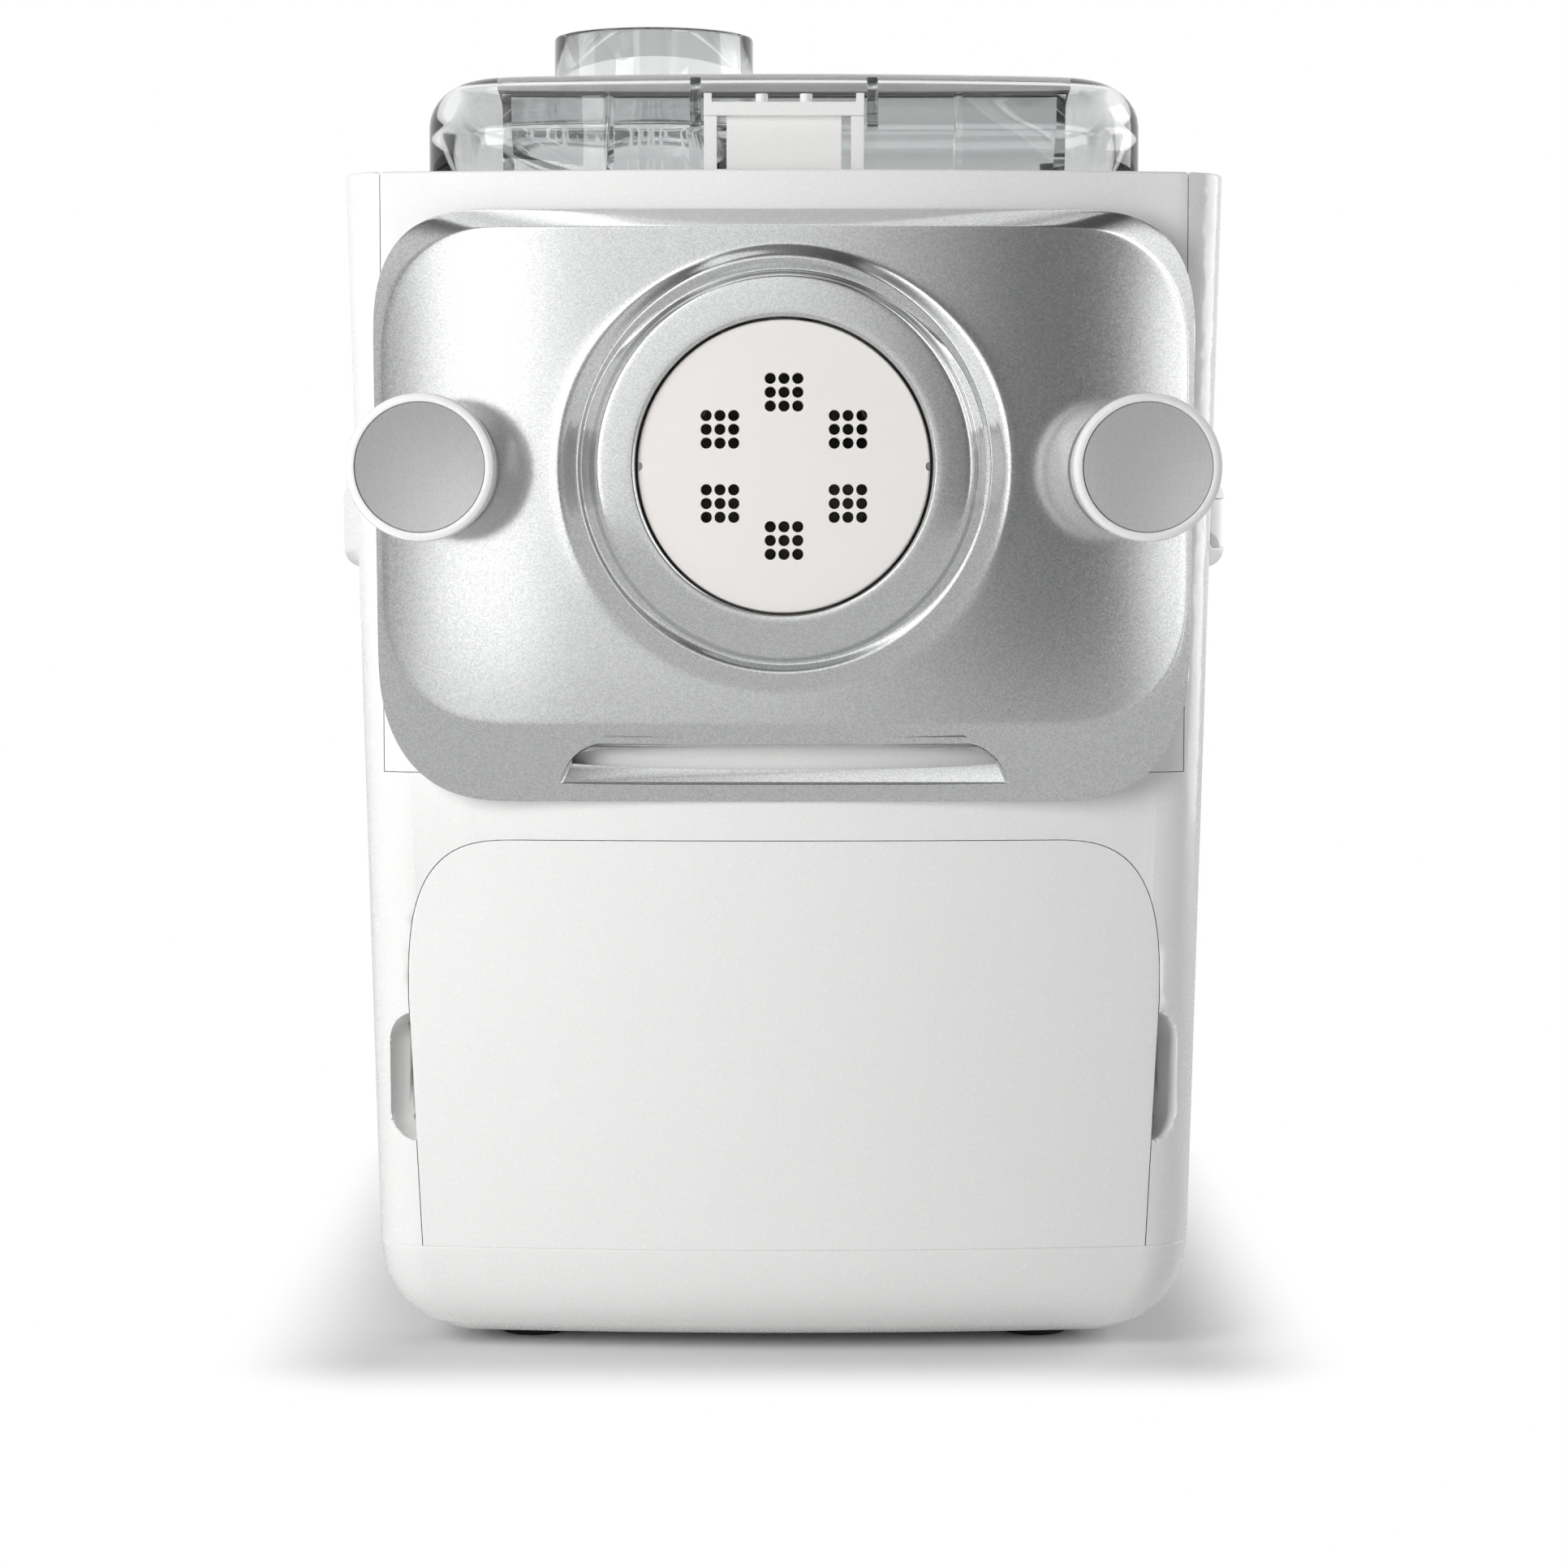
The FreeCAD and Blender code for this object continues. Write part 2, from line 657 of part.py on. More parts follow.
# Body shell with the shelf, the bulkhead and the screw bosses
FASCIA_HALF = 101.6
FASCIA_LOW_Z = 150.0
FASCIA_REACH_Y = -122.0
KEY_BORE = KEY_STEM + 0.4
shell_outer = body_solid(SEAM_Z, TOP_Z, 0)
shell_inner = body_solid(SEAM_Z - PAST, TOP_Z + PAST, WALL)
shell = shell_outer.cut(shell_inner)
fascia_window = box(-FASCIA_HALF, FASCIA_HALF, FACE_Y, FASCIA_REACH_Y, FASCIA_LOW_Z, TOP_Z + PAST)
fascia_block = box(
    SEAM_GAP - FASCIA_HALF, FASCIA_HALF - SEAM_GAP, FACE_Y, FASCIA_REACH_Y,
    FASCIA_LOW_Z + SEAM_GAP, TOP_Z + PAST)
key_spots = [KEY_FIRST_Y + KEY_PITCH * number for number in range(KEY_COUNT)]

pieces = [shell]
shelf_z = SHELF_Z + WALL
shelf = body_solid(SHELF_Z, shelf_z, WALL - PAST)
pieces.append(shelf.common(box(-TOP_HALF, TOP_HALF, FACE_Y, BULKHEAD_Y + PAST, SHELF_Z, shelf_z)))
wall_top = DECK_Z - DECK_THICK
bulkhead = body_solid(SEAM_Z, wall_top, WALL - PAST)
pieces.append(bulkhead.common(box(-TOP_HALF, TOP_HALF, BULKHEAD_Y, CASE_Y, SEAM_Z, wall_top)))
ledge_y = REAR_Y - WALL - LEDGE_THICK
pieces.append(box(
    -REAR_HALF - LEDGE_THICK, REAR_HALF + LEDGE_THICK, ledge_y, REAR_Y - PAST,
    REAR_LOW_Z - LEDGE_THICK, REAR_HIGH_Z + LEDGE_THICK))
for x, y in boss_spots:
    pieces.append(rod_z(x, y, BOSS_RADIUS, SEAM_Z, BOSS_TOP_Z))
    outer_x = math.copysign(SEAM_HALF - PAST, x)
    pieces.append(box(
        min(x, outer_x), max(x, outer_x), y - BOSS_RIB_HALF, y + BOSS_RIB_HALF, SEAM_Z, BOSS_TOP_Z))
pad = box(
    DRAWER_BOX_HALF + SCOOP_PAD, TOP_HALF, FACE_Y, SCOOP_Y + SCOOP_RADIUS + SCOOP_PAD,
    SCOOP_Z - SCOOP_HEIGHT / 2 - SCOOP_PAD, SCOOP_Z + SCOOP_HEIGHT / 2 + SCOOP_PAD)
pad = pad.common(body_solid(SEAM_Z, DRAWER_TOP_Z, PAST))
pieces.extend([pad, mirrored(pad)])
for y in SADDLE_SPOTS:
    saddle = box(-SADDLE_HALF, SADDLE_HALF, y, y + SADDLE_THICK, SHELF_Z + PAST, SHELF_Z + SADDLE_RISE)
    pieces.append(saddle.cut(rod_y(0, AXIS_Z, TUB_RADIUS + CLEAR, y - PAST, y + SADDLE_THICK + PAST)))
post_spots = [KEY_FIRST_Y - POST_REACH, key_spots[-1] + POST_REACH]
wall_x = half_at(POD_Z) - WALL
for y in post_spots:
    pieces.append(rod_x(y, POD_Z, POST_RADIUS, BOARD_X + BOARD_THICK, wall_x + PAST))
housing = fuse(pieces)
rear_hole = REAR_HALF - REAR_LEDGE
housing = housing.cut(box(
    -rear_hole, rear_hole, ledge_y - PAST, REAR_Y + PAST, REAR_LOW_Z + REAR_LEDGE, REAR_HIGH_Z - REAR_LEDGE))
housing = housing.cut(box(
    -REAR_HALF, REAR_HALF, REAR_Y - WALL, REAR_Y + PAST, REAR_LOW_Z, REAR_HIGH_Z))
housing = housing.cut(fascia_window)
housing = housing.cut(prism_y(drawer_wire(FACE_Y, SEAM_GAP), SCOOP_Y + SCOOP_RADIUS + SCOOP_PAD - FACE_Y))
for side in (-1, 1):
    low = SCOOP_Z - SCOOP_HEIGHT / 2 + SCOOP_RADIUS
    high = SCOOP_Z + SCOOP_HEIGHT / 2 - SCOOP_RADIUS
    scoop = fuse([
        rod_z(side * SCOOP_X, SCOOP_Y, SCOOP_RADIUS, low, high),
        Part.makeSphere(SCOOP_RADIUS, V(side * SCOOP_X, SCOOP_Y, low)),
        Part.makeSphere(SCOOP_RADIUS, V(side * SCOOP_X, SCOOP_Y, high)),
    ])
    housing = housing.cut(scoop)
housing = housing.cut(rod_y(0, AXIS_Z, SHAFT_RADIUS + 2, BULKHEAD_Y - PAST, CASE_Y + PAST))
for x, y in boss_spots:
    housing = housing.cut(rod_z(
        x, y, SCREW_SHANK + PRESS, SEAM_Z - PAST, BASE_SCREW_Z + BASE_SCREW_LENGTH + PAST))
for y in key_spots:
    housing = housing.cut(rod_x(y, POD_Z, KEY_BORE, wall_x - PAST, POD_OUT))
rear_spots = []
for x in (-1, 1):
    for z in (REAR_LOW_Z + REAR_SCREW_DROP, REAR_HIGH_Z - REAR_SCREW_DROP):
        rear_spots.append((x * REAR_SCREW_X, z))
for x, z in rear_spots:
    housing = housing.cut(rod_y(x, z, SCREW_SHANK + PRESS, ledge_y - PAST, REAR_Y))
save("main_housing", housing)

fascia = shell.common(fascia_block)
fascia = fascia.cut(rod_y(0, AXIS_Z, TUBE_RADIUS + PAST, FACE_Y, FASCIA_REACH_Y))
for side in (-1, 1):
    fascia = fascia.cut(rod_y(side * KNOB_X, KNOB_Z, LUG_LENGTH / 2 + 2 * LUG_ROOM, FACE_Y, FASCIA_REACH_Y))
save("front_fascia", fascia)

deck = body_solid(wall_top, DECK_Z, WALL + SEAM_GAP)
deck = deck.cut(box(
    -TUB_RADIUS - TUB_ROOM, TUB_RADIUS + TUB_ROOM, TUB_FRONT_Y - TUB_ROOM, TUB_REAR_Y + TUB_ROOM,
    wall_top - PAST, DECK_Z + PAST))
save("top_deck", deck)

# Rear cover with its vents and the gland for the mains lead
cover = box(
    SEAM_GAP - REAR_HALF, REAR_HALF - SEAM_GAP, REAR_Y - WALL, REAR_Y,
    REAR_LOW_Z + SEAM_GAP, REAR_HIGH_Z - SEAM_GAP)
vent_low = MOTOR_Z + VENT_RISE - VENT_PITCH * (VENT_COUNT - 1) / 2
for number in range(VENT_COUNT):
    z = vent_low + VENT_PITCH * number
    vent = box(-VENT_HALF, VENT_HALF, REAR_Y - WALL - PAST, REAR_Y + PAST, z, z + VENT_HEIGHT)
    cover = cover.cut(vent)
cover = cover.cut(rod_y(GLAND_X, GLAND_Z, GLAND_RADIUS + PRESS, REAR_Y - WALL - PAST, REAR_Y + PAST))
for x, z in rear_spots:
    cover = cover.cut(rod_y(x, z, SCREW_SHANK + THREAD_PASS, REAR_Y - WALL - PAST, REAR_Y + PAST))
    cover = cover.cut(rod_y(x, z, SCREW_HEAD + HEAD_ROOM, REAR_Y - HEAD_HEIGHT, REAR_Y + PAST))
save("rear_cover", cover)
gland = fuse([
    rod_y(GLAND_X, GLAND_Z, GLAND_RADIUS, REAR_Y - GLAND_LENGTH, REAR_Y),
    rod_y(GLAND_X, GLAND_Z, GLAND_RADIUS + GLAND_FLANGE, REAR_Y - WALL - GLAND_FLANGE, REAR_Y - WALL),
])
cord_way = rod_y(GLAND_X, GLAND_Z, GLAND_BORE, REAR_Y - GLAND_LENGTH - PAST, REAR_Y + PAST)
save("cord_gland", gland.cut(cord_way))

# Side pods, the control glass and the keys
def pod_blank():
    blank = pill_x(POD_FRONT_Y, POD_REAR_Y, POD_Z, POD_HEIGHT, SEAM_HALF - POD_ROOT, POD_OUT)
    edges = [edge for edge in blank.Edges if edge.BoundBox.XMin > POD_OUT - 0.01]
    return blank.makeFillet(POD_ROUND, edges).cut(shell_outer)


pod = pod_blank()
save("left_side_pod", mirrored(pod))
glass_out = POD_OUT - GLASS_DROP
glass_in = glass_out - GLASS_THICK
glass_height = POD_HEIGHT - 2 * GLASS_RIM
pocket = pill_x(
    POD_FRONT_Y + GLASS_RIM, POD_REAR_Y - GLASS_RIM, POD_Z, glass_height, glass_in, POD_OUT + PAST)
display = box(
    glass_in - DISPLAY_THICK, glass_in, DISPLAY_Y0, DISPLAY_Y1, POD_Z - DISPLAY_HALF, POD_Z + DISPLAY_HALF)
right_pod = pod.cut(pocket).cut(display)
glass = pill_x(
    POD_FRONT_Y + GLASS_RIM + SEAT_FIT / 2, POD_REAR_Y - GLASS_RIM - SEAT_FIT / 2, POD_Z,
    glass_height - SEAT_FIT, glass_in, glass_out)
cap_low = POD_OUT - KEY_CAP
dome_out = BOARD_X + BOARD_THICK + DOME_HEIGHT
names = ["power_key", "start_key", "program_key"]
domes = []
for number, y in enumerate(key_spots):
    right_pod = right_pod.cut(rod_x(
        y, POD_Z, KEY_RADIUS + CLEAR, cap_low - KEY_TRAVEL - CLEAR, POD_OUT + PAST))
    right_pod = right_pod.cut(rod_x(y, POD_Z, KEY_BORE, SEAM_HALF - POD_ROOT, POD_OUT))
    glass = glass.cut(rod_x(y, POD_Z, KEY_RADIUS + CLEAR, glass_in - PAST, glass_out + PAST))
    cap = rod_x(y, POD_Z, KEY_RADIUS, cap_low, POD_OUT)
    rim = [edge for edge in cap.Edges if edge.BoundBox.XMin > POD_OUT - 0.01]
    stem = rod_x(y, POD_Z, KEY_STEM, dome_out, cap_low + PAST)
    save(names[number], fuse([cap.makeFillet(KEY_EDGE, rim), stem]))
    domes.append(Part.makeCone(
        DOME_RADIUS, KEY_STEM, DOME_HEIGHT, V(BOARD_X + BOARD_THICK, y, POD_Z), V(1, 0, 0)))
save("right_side_pod", right_pod)
save("control_glass", glass)
save("display_module", display)
save("key_domes", *domes)
save("control_board", box(
    BOARD_X, BOARD_X + BOARD_THICK, post_spots[0] - POST_MARGIN, post_spots[1] + POST_MARGIN,
    POD_Z - BOARD_HALF, POD_Z + BOARD_HALF))

# Mixing tub that hangs in the deck
tub_outer = fuse([
    rod_y(0, AXIS_Z, TUB_RADIUS, TUB_FRONT_Y, TUB_REAR_Y),
    box(-TUB_RADIUS, TUB_RADIUS, TUB_FRONT_Y, TUB_REAR_Y, AXIS_Z, TUB_TOP_Z),
])
tub_bore = TUB_RADIUS - TUB_WALL
tub_inner = fuse([
    rod_y(0, AXIS_Z, tub_bore, TUB_FRONT_Y + TUB_WALL, TUB_REAR_Y - TUB_WALL),
    box(-tub_bore, tub_bore, TUB_FRONT_Y + TUB_WALL, TUB_REAR_Y - TUB_WALL, AXIS_Z, TUB_TOP_Z + PAST),
])
flange = box(
    -TUB_RADIUS - TUB_FLANGE, TUB_RADIUS + TUB_FLANGE, TUB_FRONT_Y - FLANGE_FRONT, TUB_REAR_Y + FLANGE_REAR,
    DECK_Z, DECK_Z + TUB_FLANGE_THICK)
upright = [edge for edge in flange.Edges if edge.BoundBox.ZLength > 1]
flange = flange.makeFillet(LID_CORNER - (LID_HALF - TUB_RADIUS - TUB_FLANGE), upright)
ribs = []
for side in (-1, 1):
    ribs.append(box(
        side * RIB_X - RIB_HALF, side * RIB_X + RIB_HALF, TUB_FRONT_Y - RIB_REACH, TUB_FRONT_Y + PAST,
        DECK_Z + PAST, TUB_TOP_Z))
tub = fuse([tub_outer, flange] + ribs).cut(tub_inner)
tub = tub.cut(rod_y(0, AXIS_Z, TUBE_BORE + SEAT_FIT, TUB_FRONT_Y - PAST, TUB_FRONT_Y + TUB_WALL + PAST))
tub = tub.cut(rod_y(0, AXIS_Z, SEAL_OUTER + PRESS, TUB_REAR_Y - TUB_WALL - PAST, TUB_REAR_Y + PAST))
save("mixing_tub", tub)
save("shaft_seal", ring_y(
    0, AXIS_Z, SHAFT_RADIUS + RUNNING_FIT, SEAL_OUTER, TUB_REAR_Y - TUB_WALL - PAST, TUB_REAR_Y + 2 * PAST))

tube_back = TUB_FRONT_Y - SEAL_THICK
tube = fuse([
    rod_y(0, AXIS_Z, TUBE_RADIUS, TUBE_FRONT_Y, tube_back),
    rod_y(0, AXIS_Z, TUBE_FLANGE, tube_back - WALL, tube_back),
])
save("extrusion_tube", tube.cut(rod_y(0, AXIS_Z, TUBE_BORE, TUBE_FRONT_Y - PAST, tube_back + PAST)))
save("tube_seal", ring_y(0, AXIS_Z, TUBE_BORE + PAST, TUBE_FLANGE - 2, tube_back, TUB_FRONT_Y))

# Lid with its collar, seal and funnel
def rounded_block(x0, x1, y0, y1, z0, z1, corner, top):
    block = box(x0, x1, y0, y1, z0, z1)
    upright = [edge for edge in block.Edges if edge.BoundBox.ZLength > 1]
    block = block.makeFillet(corner, upright)
    crown = [edge for edge in block.Edges if edge.BoundBox.ZMin > z1 - 0.01]
    return block.makeFillet(top, crown)


lid_inner = rounded_block(
    LID_WALL - LID_HALF, LID_HALF - LID_WALL, LID_FRONT_Y + LID_WALL, LID_REAR_Y - LID_WALL,
    DECK_Z - PAST, LID_TOP_Z - LID_WALL, LID_CORNER - LID_WALL, LID_ROUND - LID_WALL)
lid_parts = [
    rounded_block(-LID_HALF, LID_HALF, LID_FRONT_Y, LID_REAR_Y, DECK_Z, LID_TOP_Z, LID_CORNER, LID_ROUND),
    rod_z(COLLAR_X, COLLAR_Y, COLLAR_RADIUS, LID_TOP_Z - PAST, COLLAR_TOP_Z),
]
for side in (-1, 1):
    lid_parts.append(box(
        side * CLIP_X - CLIP_WIDTH / 2, side * CLIP_X + CLIP_WIDTH / 2,
        LID_FRONT_Y - CATCH_DEPTH, LID_FRONT_Y + CLIP_ROOT,
        LID_TOP_Z - CLIP_BELOW - CLIP_DROP, LID_TOP_Z - CLIP_BELOW))
lid = fuse(lid_parts).cut(lid_inner)
lid = lid.cut(rod_z(COLLAR_X, COLLAR_Y, COLLAR_RADIUS - LID_WALL, LID_TOP_Z, COLLAR_TOP_Z + PAST))
lid = lid.cut(rod_z(
    COLLAR_X, COLLAR_Y, FUNNEL_MOUTH + SEAT_FIT, LID_TOP_Z - LID_WALL - PAST, LID_TOP_Z + PAST))
save("lid_cover", lid)
lip = COLLAR_RADIUS - LID_WALL - CLEAR
funnel = fuse([
    rod_z(COLLAR_X, COLLAR_Y, lip, LID_TOP_Z, LID_TOP_Z + FUNNEL_WALL),
    Part.makeCone(
        FUNNEL_OUTLET, FUNNEL_MOUTH, FUNNEL_DEPTH, V(COLLAR_X, COLLAR_Y, LID_TOP_Z - FUNNEL_DEPTH)),
])
hollow = Part.makeCone(
    FUNNEL_OUTLET - FUNNEL_WALL, FUNNEL_MOUTH - FUNNEL_WALL, FUNNEL_DEPTH + FUNNEL_WALL + SEAT_FIT,
    V(COLLAR_X, COLLAR_Y, LID_TOP_Z - FUNNEL_DEPTH - SEAT_FIT / 2))
save("liquid_funnel", funnel.cut(hollow))
seal_z = TUB_TOP_Z + CLEAR
seal_out = TUB_RADIUS + SEAL_LAP
seal_in = tub_bore - SEAL_LAP
lid_seal = box(
    -seal_out, seal_out, TUB_FRONT_Y - SEAL_LAP, TUB_REAR_Y + SEAL_LAP, seal_z, LID_TOP_Z - LID_WALL)
lid_seal = lid_seal.cut(box(
    -seal_in, seal_in, TUB_FRONT_Y + TUB_WALL + SEAL_LAP, TUB_REAR_Y - TUB_WALL - SEAL_LAP,
    seal_z - PAST, LID_TOP_Z))
save("lid_seal", lid_seal.common(lid_inner))

# Catch frame and switch in front of the lid
catch_back = LID_FRONT_Y - CATCH_GAP - CLEAR
catch_front = catch_back - CATCH_DEPTH
inner_back = catch_back - CATCH_INSET
bar_top = CATCH_BAR_Z + CATCH_BAR_THICK
catch_parts = [
    box(-CATCH_HALF, CATCH_HALF, catch_front, catch_back, CATCH_BAR_Z, bar_top),
    box(-CATCH_HALF, CATCH_HALF, catch_front, catch_back, DECK_Z, DECK_Z + CATCH_FOOT),
    box(-CATCH_PLATE_HALF, CATCH_PLATE_HALF, inner_back - CATCH_PLATE_THICK, inner_back,
        DECK_Z, CATCH_BAR_Z + PAST),
]
for side in (-1, 1):
    post = box(
        CATCH_HALF - CATCH_POST, CATCH_HALF, inner_back - CATCH_POST_DEPTH, inner_back,
        DECK_Z, CATCH_BAR_Z + PAST)
    tip = box(
        CATCH_HALF - CATCH_TIP_WIDTH, CATCH_HALF, catch_front, catch_back, CATCH_BAR_Z + PAST,
        bar_top + CATCH_TIP)
    peg = rod_z(
        PEG_X, catch_back - CATCH_DEPTH / 2, PEG_RADIUS, CATCH_BAR_Z + PAST, bar_top + CATCH_TIP)
    for piece in (post, tip, peg):
        catch_parts.append(piece if side > 0 else mirrored(piece))
save("lid_catch_frame", fuse(catch_parts))
save("lid_switch", box(
    -SWITCH_HALF, SWITCH_HALF, catch_front, catch_back, wall_top - SWITCH_HEIGHT, wall_top))

# Clamp receivers behind the fascia
receivers = []
for side in (-1, 1):
    middle = side * KNOB_X
    block = box(
        middle - RECEIVER_HALF, middle + RECEIVER_HALF, FACE_Y, RECEIVER_BACK_Y,
        KNOB_Z - RECEIVER_HALF, KNOB_Z + RECEIVER_HALF)
    block = block.common(shell_inner)
    way = LUG_LENGTH / 2 + LUG_ROOM
    high = LUG_WIDTH / 2 + LUG_ROOM
    block = block.cut(box(middle - way, middle + way, FACE_Y, 0, KNOB_Z - high, KNOB_Z + high))
    block = block.cut(rod_y(middle, KNOB_Z, BOLT_SHOULDER + LUG_ROOM, FACE_Y, 0))
    receivers.append(block)
save("clamp_receivers", *receivers)

# Silver front panel
def panel_block(inset):
    """Solid bounded by the panel's outline, sloping band and bowed main face."""
    band_y = FRONT_Y - PANEL_EDGE + inset
    past_face = FACE_Y - FACE_LEAN + inset
    outline = squircle(PANEL_HALF - inset, PANEL_LOW_Z + inset, PANEL_HIGH_Z - inset, band_y)
    face = squircle(FACE_HALF - inset, FACE_LOW_Z + inset, FACE_HIGH_Z - inset, past_face)
    slope = Part.makeLoft([outline, face], True, True)
    rim = prism_y(outline, PANEL_RIM)
    block = slope.fuse(rim)
    return block.common(body_solid(PANEL_LOW_Z - PAST, PANEL_HIGH_Z + PAST, inset - PANEL_RISE))


def grip_wire(grow, y):
    """Outline of the grip recess: flat below, with rounded upper corners."""
    low = GRIP_LOW_Z - grow
    high = GRIP_HIGH_Z + grow
    low_half = GRIP_LOW_HALF + grow
    high_half = GRIP_HIGH_HALF + grow
    points = [V(-low_half, y, low), V(low_half, y, low), V(high_half, y, high), V(-high_half, y, high)]
    wire = Part.makePolygon(points + [points[0]])
    block = prism_y(wire, PANEL_RIM + PANEL_RISE)
    edges = []
    for edge in block.Edges:
        bounds = edge.BoundBox
        if bounds.YLength > 1 and bounds.ZMin > high - 0.01:
            edges.append(edge)
    return block.makeFillet(GRIP_CORNER + grow, edges)


face_block = panel_block(0)
panel = face_block.cut(panel_block(PANEL_SKIN))
grip_back_y = FRONT_Y - GRIP_BACK
grip_floor_y = FRONT_Y - GRIP_FLOOR
grip_front_y = FACE_Y - PANEL_RIM
pocket = grip_wire(GRIP_WALL, FACE_Y).common(face_block)
pocket = pocket.cut(box(-PANEL_HALF, PANEL_HALF, grip_back_y, 0, PANEL_LOW_Z, FACE_LOW_Z))
nose_y = FACE_Y - NOSE_FRONT
crest_y = FACE_Y - CREST_FRONT
nose_back = DISC_BACK_Y - NOSE_ROUND


def at(radius, y):
    return V(radius, y, 0)


round_in = NOSE_ROUND * (1 - math.sqrt(0.5))
channel_in = at(NOSE_CHANNEL - CHANNEL_HALF, FACE_Y - CHANNEL_LIFT)
channel_out = at(NOSE_CHANNEL + CHANNEL_HALF * 0.75, FACE_Y - CHANNEL_LIFT * 1.6)
crest_foot = at(NOSE_CREST + CREST_FOOT, FACE_Y - CREST_FOOT_LIFT)
root_radius = NOSE_CREST + NOSE_ROOT
root_y = FACE_Y + PANEL_SKIN
nose_edges = [
    line(at(NOSE_BORE, nose_back), at(NOSE_BORE, nose_y + NOSE_ROUND)),
    arc(at(NOSE_BORE, nose_y + NOSE_ROUND), at(NOSE_BORE + round_in, nose_y + round_in),
        at(NOSE_BORE + NOSE_ROUND, nose_y)),
    line(at(NOSE_BORE + NOSE_ROUND, nose_y), at(NOSE_EDGE, nose_y)),
    line(at(NOSE_EDGE, nose_y), channel_in),
    arc(channel_in, at(NOSE_CHANNEL, FACE_Y), channel_out),
    arc(channel_out, at(NOSE_CREST, crest_y), crest_foot),
    line(crest_foot, at(root_radius, root_y)),
    line(at(root_radius, root_y), at(root_radius, nose_back)),
    line(at(root_radius, nose_back), at(NOSE_BORE, nose_back)),
]
nose = Part.Face(Part.Wire(nose_edges)).revolve(V(0, 0, 0), V(0, 1, 0), 360)
nose.translate(V(0, 0, AXIS_Z))
panel = panel.cut(rod_y(0, AXIS_Z, NOSE_CREST + CHANNEL_HALF, nose_y, 0))
panel = fuse([panel, nose, pocket])
panel = panel.cut(grip_wire(0, grip_front_y).common(
    box(-PANEL_HALF, PANEL_HALF, grip_front_y, grip_floor_y, PANEL_LOW_Z, FACE_LOW_Z)))
panel = panel.cut(body_solid(SHELF_Z, PANEL_HIGH_Z + WALL, -CLEAR))
for side in (-1, 1):
    panel = panel.cut(rod_y(side * KNOB_X, KNOB_Z, BUSH_RADIUS, FACE_Y - PAST, 0))
save("front_panel", panel)

liner_gap = CLEAR + SEAT_FIT
liner_wire = squircle(
    FACE_HALF - LINER_MARGIN, FACE_LOW_Z + LINER_MARGIN / 2, FACE_HIGH_Z - LINER_MARGIN, FACE_Y)
liner = prism_y(liner_wire, PANEL_RIM)
liner = liner.common(body_solid(PANEL_LOW_Z, PANEL_HIGH_Z, -liner_gap - LINER_THICK))
liner = liner.cut(body_solid(PANEL_LOW_Z - PAST, PANEL_HIGH_Z + PAST, -liner_gap))
liner = liner.cut(rod_y(0, AXIS_Z, TUBE_RADIUS + PAST, FACE_Y, 0))
bushes = []
liner_back = bow_y(KNOB_X, 0) - liner_gap
for side in (-1, 1):
    liner = liner.cut(rod_y(side * KNOB_X, KNOB_Z, BUSH_RADIUS, FACE_Y, 0))
    bushes.append(ring_y(
        side * KNOB_X, KNOB_Z, BOLT_RADIUS + RUNNING_FIT, BUSH_RADIUS - PRESS, KNOB_BACK_Y + CLEAR, liner_back))
save("panel_liner", liner)
save("knob_bushes", *bushes)

# Shaping disc and its seal
disc_front = DISC_BACK_Y - DISC_THICK
disc = rod_y(0, AXIS_Z, DISC_RADIUS, disc_front, DISC_BACK_Y)
rim = [edge for edge in disc.Edges if edge.BoundBox.YMax < disc_front + 0.01]
disc = disc.makeFillet(DISC_EDGE, rim)
holes = []
for cluster in range(CLUSTERS):
    angle = math.pi / 2 + 2 * math.pi * cluster / CLUSTERS
    cx = CLUSTER_RADIUS * math.cos(angle)
    cz = AXIS_Z + CLUSTER_RADIUS * math.sin(angle)
    for column in (-1, 0, 1):
        for row in (-1, 0, 1):
            x = cx + column * HOLE_PITCH
            z = cz + row * HOLE_PITCH
            holes.append(rod_y(x, z, HOLE_RADIUS, disc_front - PAST, DISC_BACK_Y + PAST))
for side in (-1, 1):
    holes.append(rod_y(side * DISC_RADIUS, AXIS_Z, NOTCH_RADIUS, disc_front - PAST, disc_front + NOTCH_DEPTH))
save("shaping_disc", disc.cut(Part.makeCompound(holes)))
save("disc_seal", ring_y(
    0, AXIS_Z, TUBE_BORE + SEAT_FIT, TUBE_RADIUS + SEAT_FIT, DISC_BACK_Y, TUBE_FRONT_Y - CLEAR))

